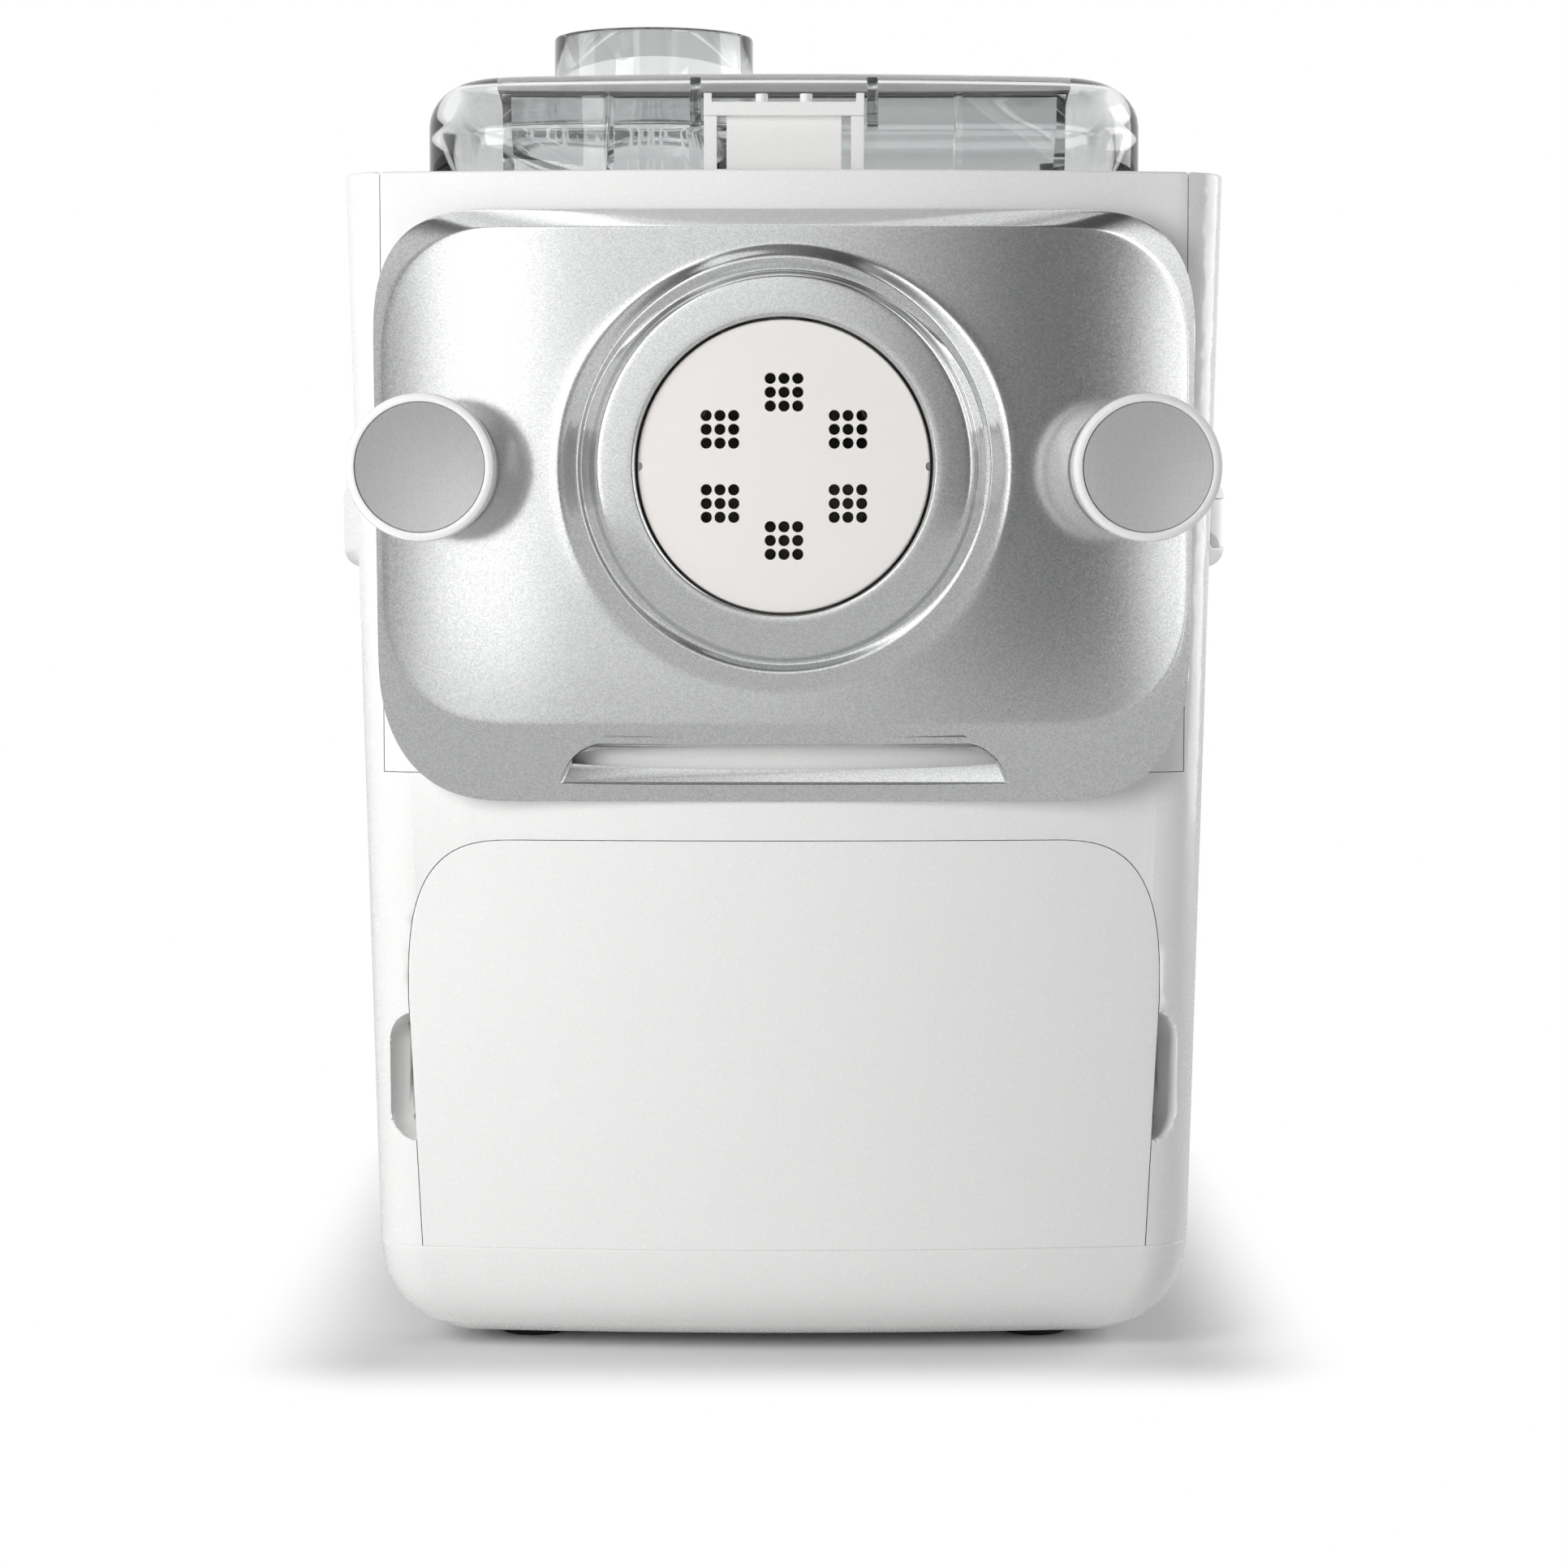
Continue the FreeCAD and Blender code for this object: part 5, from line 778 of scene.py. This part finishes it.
# %% Silver panel: sizes
FRONT_BOW = 670.0
FACE_RISE = 9.0
FACE_Y = FRONT_Y - FACE_RISE
BAND_RISE = 1.0
AXIS_Z = 227.0
NOSE_FOOT = 54.8
# An outline's upper corners are tighter than its lower ones: (across, up, squareness)
FACE = {"half": 100.9, "taper": 0.0, "low": 162.3, "high": 286.2,
        "top": (29, 31.4, 2.3), "foot": (31, 33, 2.3)}
PANEL = {"half": 102.9, "taper": 1.4, "low": 143.2, "high": 291.0,
         "top": (28, 32, 2.6), "foot": (31, 37, 2.4)}
PANEL_GAP = 0.3
PANEL_COUNT = 144
SKIN = 2.5


def bow(x, rise):
    """Depth of the bowed front at a distance from the middle, rise in front of the body."""
    return FRONT_Y + FRONT_BOW - math.sqrt((FRONT_BOW + rise) ** 2 - x * x)


def outline(shape, turn, inset=0.0):
    """Point of a rounded oblong, (x, z), in the direction that turn gives from its middle."""
    angle = turn * 2 * math.pi
    across = math.cos(angle)
    upward = math.sin(angle)
    half = shape["half"] - inset
    tall = (shape["high"] - shape["low"]) / 2 - inset
    side, rise, power = shape["top"] if upward > 0 else shape["foot"]
    side -= inset
    rise -= inset

    def beyond(reach):
        """Whether a point this far out lies outside the oblong."""
        taper = shape["taper"] * max(0.0, 1 - (reach * upward / tall + 1) / 2)
        x = abs(reach * across) + taper
        z = abs(reach * upward)
        if x <= half - side or z <= tall - rise:
            return max(x - half, z - tall) > 0
        return ((x - half + side) / side) ** power + ((z - tall + rise) / rise) ** power > 1

    near, far = 0.0, 200.0
    for _ in range(40):
        middle = (near + far) / 2
        near, far = (near, middle) if beyond(middle) else (middle, far)
    return near * across, (shape["low"] + shape["high"]) / 2 + near * upward


def face_point(turn, share, inset=0.0, sink=0.0):
    """Point between the nose's foot, share 0, and the face's outline, share 1."""
    angle = turn * 2 * math.pi
    x, z = outline(FACE, turn, inset)
    x = NOSE_FOOT * math.cos(angle) * (1 - share) + x * share
    z = (AXIS_Z + NOSE_FOOT * math.sin(angle)) * (1 - share) + z * share
    return x, bow(x, FACE_RISE) + sink, z


# The nose's section as (radius, height over the face): bore, flange, channel and crest
nose_heights = [
    (36.8, -5.4), (36.8, 3.6), (36.9, 4.2), (37.5, 4.4), (41.0, 4.15), (45.7, 3.8), (46.6, 3.68),
    (47.15, 3.4), (47.5, 2.7), (47.8, 1.4), (48.4, 0.5), (49.2, 0.5), (50.2, 1.3), (51.1, 1.85),
    (52.0, 1.75), (53.3, 0.8), (NOSE_FOOT, 0.05)]
CREST_RINGS = 5


def on_bow(place):
    """Lets a ring of the nose follow the bow of the face where it meets the face."""
    def bent(turn):
        x, y, z = place(turn)
        return x, y + bow(x, FACE_RISE) - FACE_Y, z
    return bent


def band_ring(share, inset, back):
    """Ring on the sloping band, share 0 at the face's outline and 1 at the panel's.

    Along the rim behind the band, back runs from 0 at the band to 1 at the body.
    """
    def ring(turn):
        face_x, face_z = outline(FACE, turn)
        panel_x, panel_z = outline(PANEL, turn, inset)
        x = face_x * (1 - share) + panel_x * share
        z = face_z * (1 - share) + panel_z * share
        y = bow(face_x, FACE_RISE) * (1 - share) + (FRONT_Y - BAND_RISE) * share
        return x, y + (bow(x, PANEL_GAP) - y) * back, z
    return ring


nose_section = [(radius, FACE_Y - height) for radius, height in nose_heights]
rings = round_y(0, AXIS_Z, nose_section)
rings = rings[:-CREST_RINGS] + [on_bow(place) for place in rings[-CREST_RINGS:]]
for share, inset, sink in ((0.08, 1.2, 0), (0.22, 1.2, 0), (0.38, 1.2, 0), (0.54, 1.2, 0),
                           (0.7, 1.2, 0), (0.86, 1.2, 0), (1.0, 1.2, 0), (1.0, 0.2, 0),
                           (1.0, 0, 0.05)):
    rings.append(lambda turn, values=(share, inset, sink): face_point(turn, *values))
for share, inset, back in ((0.04, 0, 0), (0.5, 0, 0), (0.94, 0, 0), (1.0, 0.1, 0),
                           (1.0, 0, 0.05), (1.0, 0, 0.4), (1.0, 0, 1.0)):
    rings.append(band_ring(share, inset, back))
panel = grown("front_panel_skin", PANEL_COUNT, rings, ends="open")
modify(panel, "SUBSURF", levels=1, render_levels=1)
modify(panel, "SOLIDIFY", thickness=SKIN * MM, offset=-1.0, use_even_offset=False)
print("panel:", len(panel.data.polygons), "faces")

# %% [markdown]
# The grip under the nose is a recess for the fingertips. Its cutter is a block with two
# large upper corners and a floor that slopes out towards its lower edge. A slightly larger
# block is joined first, which gives the recess its own wall behind the band.

# %% Silver panel: grip recess and bores
GRIP = {"low": 147.4, "high": 158.2, "low_half": 56.7, "high_half": 52.0, "corner": 7.0}
GRIP_WALL = 1.5
# Depths as (below, above): in front of the panel, the recess's floor, and its wall
GRIP_OPEN_Y = (-177.0, -177.0)
GRIP_FLOOR_Y = (FRONT_Y - 2.25, FRONT_Y - 0.5)
WALL_FRONT_Y = (-148.2, -152.6)
WALL_BACK_Y = (-146.0, -146.0)
GRIP_UPPER_Z = 155.0
KNOB_X = 87.9
KNOB_Z = 226.5
BUSH_RADIUS = 8.5
BUSH_ENDS_Y = (FRONT_Y - 30, -120.0)


def grip_block(name, grow, front, back):
    """Block with the grip's outline: its front and back each slope from (below, above)."""
    deselect()
    bpy.ops.mesh.primitive_cube_add(size=2.0)
    block = bpy.context.object
    block.name = name
    for vertex in block.data.vertices:
        upper = vertex.co.z > 0
        half = GRIP["high_half"] if upper else GRIP["low_half"]
        near, far = (front[1], back[1]) if upper else (front[0], back[0])
        x = math.copysign(half + grow, vertex.co.x)
        z = GRIP["high"] + grow if upper else GRIP["low"] - grow
        vertex.co = Vector((x, far if vertex.co.y > 0 else near, z)) * MM
    use(block)
    bpy.ops.object.mode_set(mode="EDIT")
    bpy.ops.mesh.select_mode(type="EDGE")
    bpy.ops.mesh.select_all(action="DESELECT")
    mesh = bmesh.from_edit_mesh(block.data)
    for edge in mesh.edges:
        first, second = (vertex.co for vertex in edge.verts)
        if min(first.z, second.z) > GRIP_UPPER_Z * MM and abs(first.x - second.x) < MM:
            edge.select = True
    mesh.select_flush(True)
    bmesh.update_edit_mesh(block.data)
    bpy.ops.mesh.bevel(offset=(GRIP["corner"] + grow) * MM, segments=8)
    bpy.ops.object.mode_set(mode="OBJECT")
    return block


wall = grip_block("grip_wall", GRIP_WALL, WALL_FRONT_Y, WALL_BACK_Y)
combine(panel, wall, "UNION")
cutter = grip_block("grip_cutter", 0.0, GRIP_OPEN_Y, GRIP_FLOOR_Y)
modify(cutter, "BEVEL", width=0.9 * MM, segments=3, limit_method="ANGLE",
       angle_limit=math.radians(40))
combine(panel, cutter, "DIFFERENCE")
bore_section = [(BUSH_RADIUS, y) for y in BUSH_ENDS_Y]
for side in (-1, 1):
    bore = grown("bore", 48, round_y(side * KNOB_X, KNOB_Z, bore_section))
    combine(panel, bore, "DIFFERENCE")
finish_piece(panel, silver, "panel", "front_panel", angle=30)
print("panel with grip:", len(panel.data.polygons), "faces")

# %% [markdown]
# Each clamp knob is a hollow glossy cap with a wide head, pressed on its bolt. A dished
# silver disc is glued in the head. The section is drawn from the bore outwards, so one
# grown ring gives the hollow skirt, the head's round edge and the seat of the disc.

# %% Knobs
KNOB_FRONT_Y = -183.0
KNOB_BACK_Y = -153.4
knob_section = [
    (6.02, -178.0), (6.02, KNOB_BACK_Y), (9.0, KNOB_BACK_Y), (9.0, -173.0), (14.3, -173.0),
    (14.3, KNOB_BACK_Y), (16.2, KNOB_BACK_Y), (16.8, KNOB_BACK_Y - 0.6), (16.8, -172.6),
    (17.1, -173.6), (17.75, -174.2), (18.0, -175.0), (18.0, -181.7), (17.75, -182.5),
    (17.1, -182.93), (16.4, KNOB_FRONT_Y), (15.95, -182.9), (15.72, -182.5), (15.7, -181.3),
]
INSET_RADIUS = 15.62
inset_section = [(0.4, -181.32), (INSET_RADIUS, -181.32), (INSET_RADIUS, -182.5), (15.5, -182.66)]
for step in range(8):
    share = 1 - step / 8
    inset_section.append((15.3 * share + 0.3, -181.75 - 0.91 * share * share))
for name, side in (("left", -1), ("right", 1)):
    knob = grown(name + "_knob_cap", 96, round_y(side * KNOB_X, KNOB_Z, knob_section))
    finish_piece(knob, white_abs, name + "_clamp", name + "_knob")
    inset = grown(name + "_knob_disc", 96, round_y(side * KNOB_X, KNOB_Z, inset_section))
    finish_piece(inset, silver_inset, name + "_clamp", name + "_knob_inset")
dressed("shaping_disc", acetal, 0.18)
print("knobs and disc made")

# %% [markdown]
# The lid is an injection-moulded clear box, open below. Its corners are thicker than its
# walls, which is why they look dark: so its inside is grown with its own, flatter section
# instead of a constant wall. The filler collar is joined to it, then the mouth is cut.

# %% Clear lid
LID = {"half": 92.0, "front": -128.0, "rear": 50.0, "corner": 24.0, "low": 300.0, "high": 328.0}
LID_EDGE = 13.0
LID_CROWN = 1.4
# Steps of a quarter of the outline: on half a side or half an end, and round the corner
LID_FLAT = 6
LID_BEND = 12
LID_QUARTER = LID_FLAT + LID_BEND + LID_FLAT
LID_COUNT = 4 * LID_QUARTER


def lid_ring(inset, z, crown=0.0):
    """Rounded oblong about Z: each quarter has half a side, a corner and half an end."""
    def ring(turn):
        quarter, place = divmod(round(turn * LID_COUNT), LID_QUARTER)
        place = place if quarter % 2 == 0 else LID_QUARTER - place
        corner = max(LID["corner"] - inset, 1.0)
        reach_x = LID["half"] - inset - corner
        reach_y = (LID["rear"] - LID["front"]) / 2 - inset - corner
        if place <= LID_FLAT:
            x, y = reach_x + corner, reach_y * place / LID_FLAT
        elif place <= LID_FLAT + LID_BEND:
            angle = math.pi / 2 * (place - LID_FLAT) / LID_BEND
            x, y = reach_x + corner * math.cos(angle), reach_y + corner * math.sin(angle)
        else:
            x, y = reach_x * (LID_QUARTER - place) / LID_FLAT, reach_y + corner
        x = x if quarter in (0, 3) else -x
        y = y if quarter in (0, 1) else -y
        return x, (LID["front"] + LID["rear"]) / 2 + y, z - crown * (x / LID["half"]) ** 2
    return ring


LID_UNDER = 324.8
lid_rings = [lid_ring(inset, LID_UNDER, LID_CROWN) for inset in (87.5, 70.0, 50.0, 30.0, 12.5)]
lid_rings += [lid_ring(9.0, 324.5, LID_CROWN), lid_ring(7.0, 323.3, LID_CROWN)]
lid_rings += [lid_ring(inset, z) for inset, z in (
    (2.6, 314.6), (2.5, 312.0), (2.5, 300.6), (2.1, LID["low"]), (0.4, LID["low"]), (0.0, 300.5))]
for step in range(9):
    angle = math.pi / 2 * step / 8
    inset = LID_EDGE * (1 - math.cos(angle))
    lid_rings.append(lid_ring(inset, LID["high"] - LID_EDGE * (1 - math.sin(angle)),
                              LID_CROWN * math.sin(angle)))
lid_rings += [lid_ring(inset, LID["high"], LID_CROWN) for inset in (30.0, 50.0, 70.0, 87.5)]
lid = grown("lid_shell", LID_COUNT, lid_rings)
COLLAR = {"x": -35.4, "y": -52.0, "radius": 27.0, "top": 344.5, "wall": 2.5}
MOUTH_RADIUS = 21.7
COLLAR_FOOT = 325.6


def round_z(x, y, section):
    """Rings about an upright axis: one for each (radius, z) of the section."""
    def ring(radius, z):
        return lambda turn: (x + radius * math.cos(turn * 2 * math.pi),
                             y + radius * math.sin(turn * 2 * math.pi), z)
    return [ring(radius, z) for radius, z in section]


inner = COLLAR["radius"] - COLLAR["wall"]
collar_section = [
    (COLLAR["radius"], COLLAR_FOOT), (COLLAR["radius"], 343.5), (COLLAR["radius"] - 0.3, 344.2),
    (COLLAR["radius"] - 1.0, COLLAR["top"]), (inner + 0.8, COLLAR["top"]), (inner + 0.2, 344.0),
    (inner, 343.2), (inner, LID["high"]), (MOUTH_RADIUS, LID["high"]),
    (MOUTH_RADIUS, COLLAR_FOOT)]
collar = grown("collar", 72, round_z(COLLAR["x"], COLLAR["y"], collar_section), ends="join")
mouth_section = [(MOUTH_RADIUS, LID["high"] - 10), (MOUTH_RADIUS, LID["high"] + 6)]
mouth = grown("mouth", 72, round_z(COLLAR["x"], COLLAR["y"], mouth_section))
combine(lid, mouth, "DIFFERENCE")
combine(lid, collar, "UNION")
finish_piece(lid, clear_lid, "lid", "lid_cover", angle=40)
print("lid:", len(lid.data.polygons), "faces")

# %% [markdown]
# Two hook clips on the lid's front snap over the catch frame. Each is a narrow tongue with
# a nose at its lower end, moulded with the lid. Its section is drawn as one face and
# extruded to the tongue's width, and the long edges get a small radius.

# %% Lid clips
CLIP_X = 22.4
CLIP_HALF = 1.4
TUB_RIM_Z = 318.0
clip_section = [
    (-127.4, 326.0), (-128.6, 325.4), (-129.6, 323.6), (-129.8, 320.0), (-129.6, 316.6),
    (-130.4, 315.4), (-130.5, 313.6), (-129.4, 312.4), (-128.5, 312.8), (-128.3, 314.4),
    (-128.9, 315.6), (-128.6, 317.4), (-128.5, 322.6), (-127.4, 323.4)]


def strip(name, section, x0, x1):
    """A closed (y, z) section as a face, extruded from x0 to x1."""
    deselect()
    bpy.ops.mesh.primitive_circle_add(vertices=len(section), radius=1.0, fill_type="NGON")
    piece = bpy.context.object
    piece.name = name
    for vertex, (y, z) in zip(piece.data.vertices, section):
        vertex.co = Vector((x0, y, z)) * MM
    use(piece)
    bpy.ops.object.mode_set(mode="EDIT")
    bpy.ops.mesh.select_all(action="SELECT")
    bpy.ops.mesh.extrude_region_move(
        TRANSFORM_OT_translate={"value": ((x1 - x0) * MM, 0, 0)})
    bpy.ops.mesh.select_all(action="SELECT")
    bpy.ops.mesh.normals_make_consistent(inside=False)
    bpy.ops.object.mode_set(mode="OBJECT")
    return piece


for name, side in (("left", -1), ("right", 1)):
    clip = strip(name + "_lid_clip", clip_section,
                 side * CLIP_X - CLIP_HALF, side * CLIP_X + CLIP_HALF)
    modify(clip, "BEVEL", width=0.3 * MM, segments=2, limit_method="ANGLE",
           angle_limit=math.radians(50))
    finish_piece(clip, painted_shade_clip, "lid")
dressed("liquid_funnel", clear_lid)
dressed("mixing_tub", clear_tub, 0.3, lambda point: point.z > TUB_RIM_Z)
dressed("lid_seal", silicone, 0.2)
print("lid parts made")

# %% [markdown]
# The rest is seen when the machine is opened. These are the pieces that nothing stands for
# yet: they keep the frame's shapes, and their turned and moulded surfaces are smoothed
# between their edges. The flat boards stay as they are.

# %% Inner pieces
inner_pieces = 0
for material, nodes in finishes.items():
    for node in nodes:
        if node not in covered and material is not solder_mask:
            dressed(node, material)
            inner_pieces += 1
print("inner pieces:", inner_pieces)
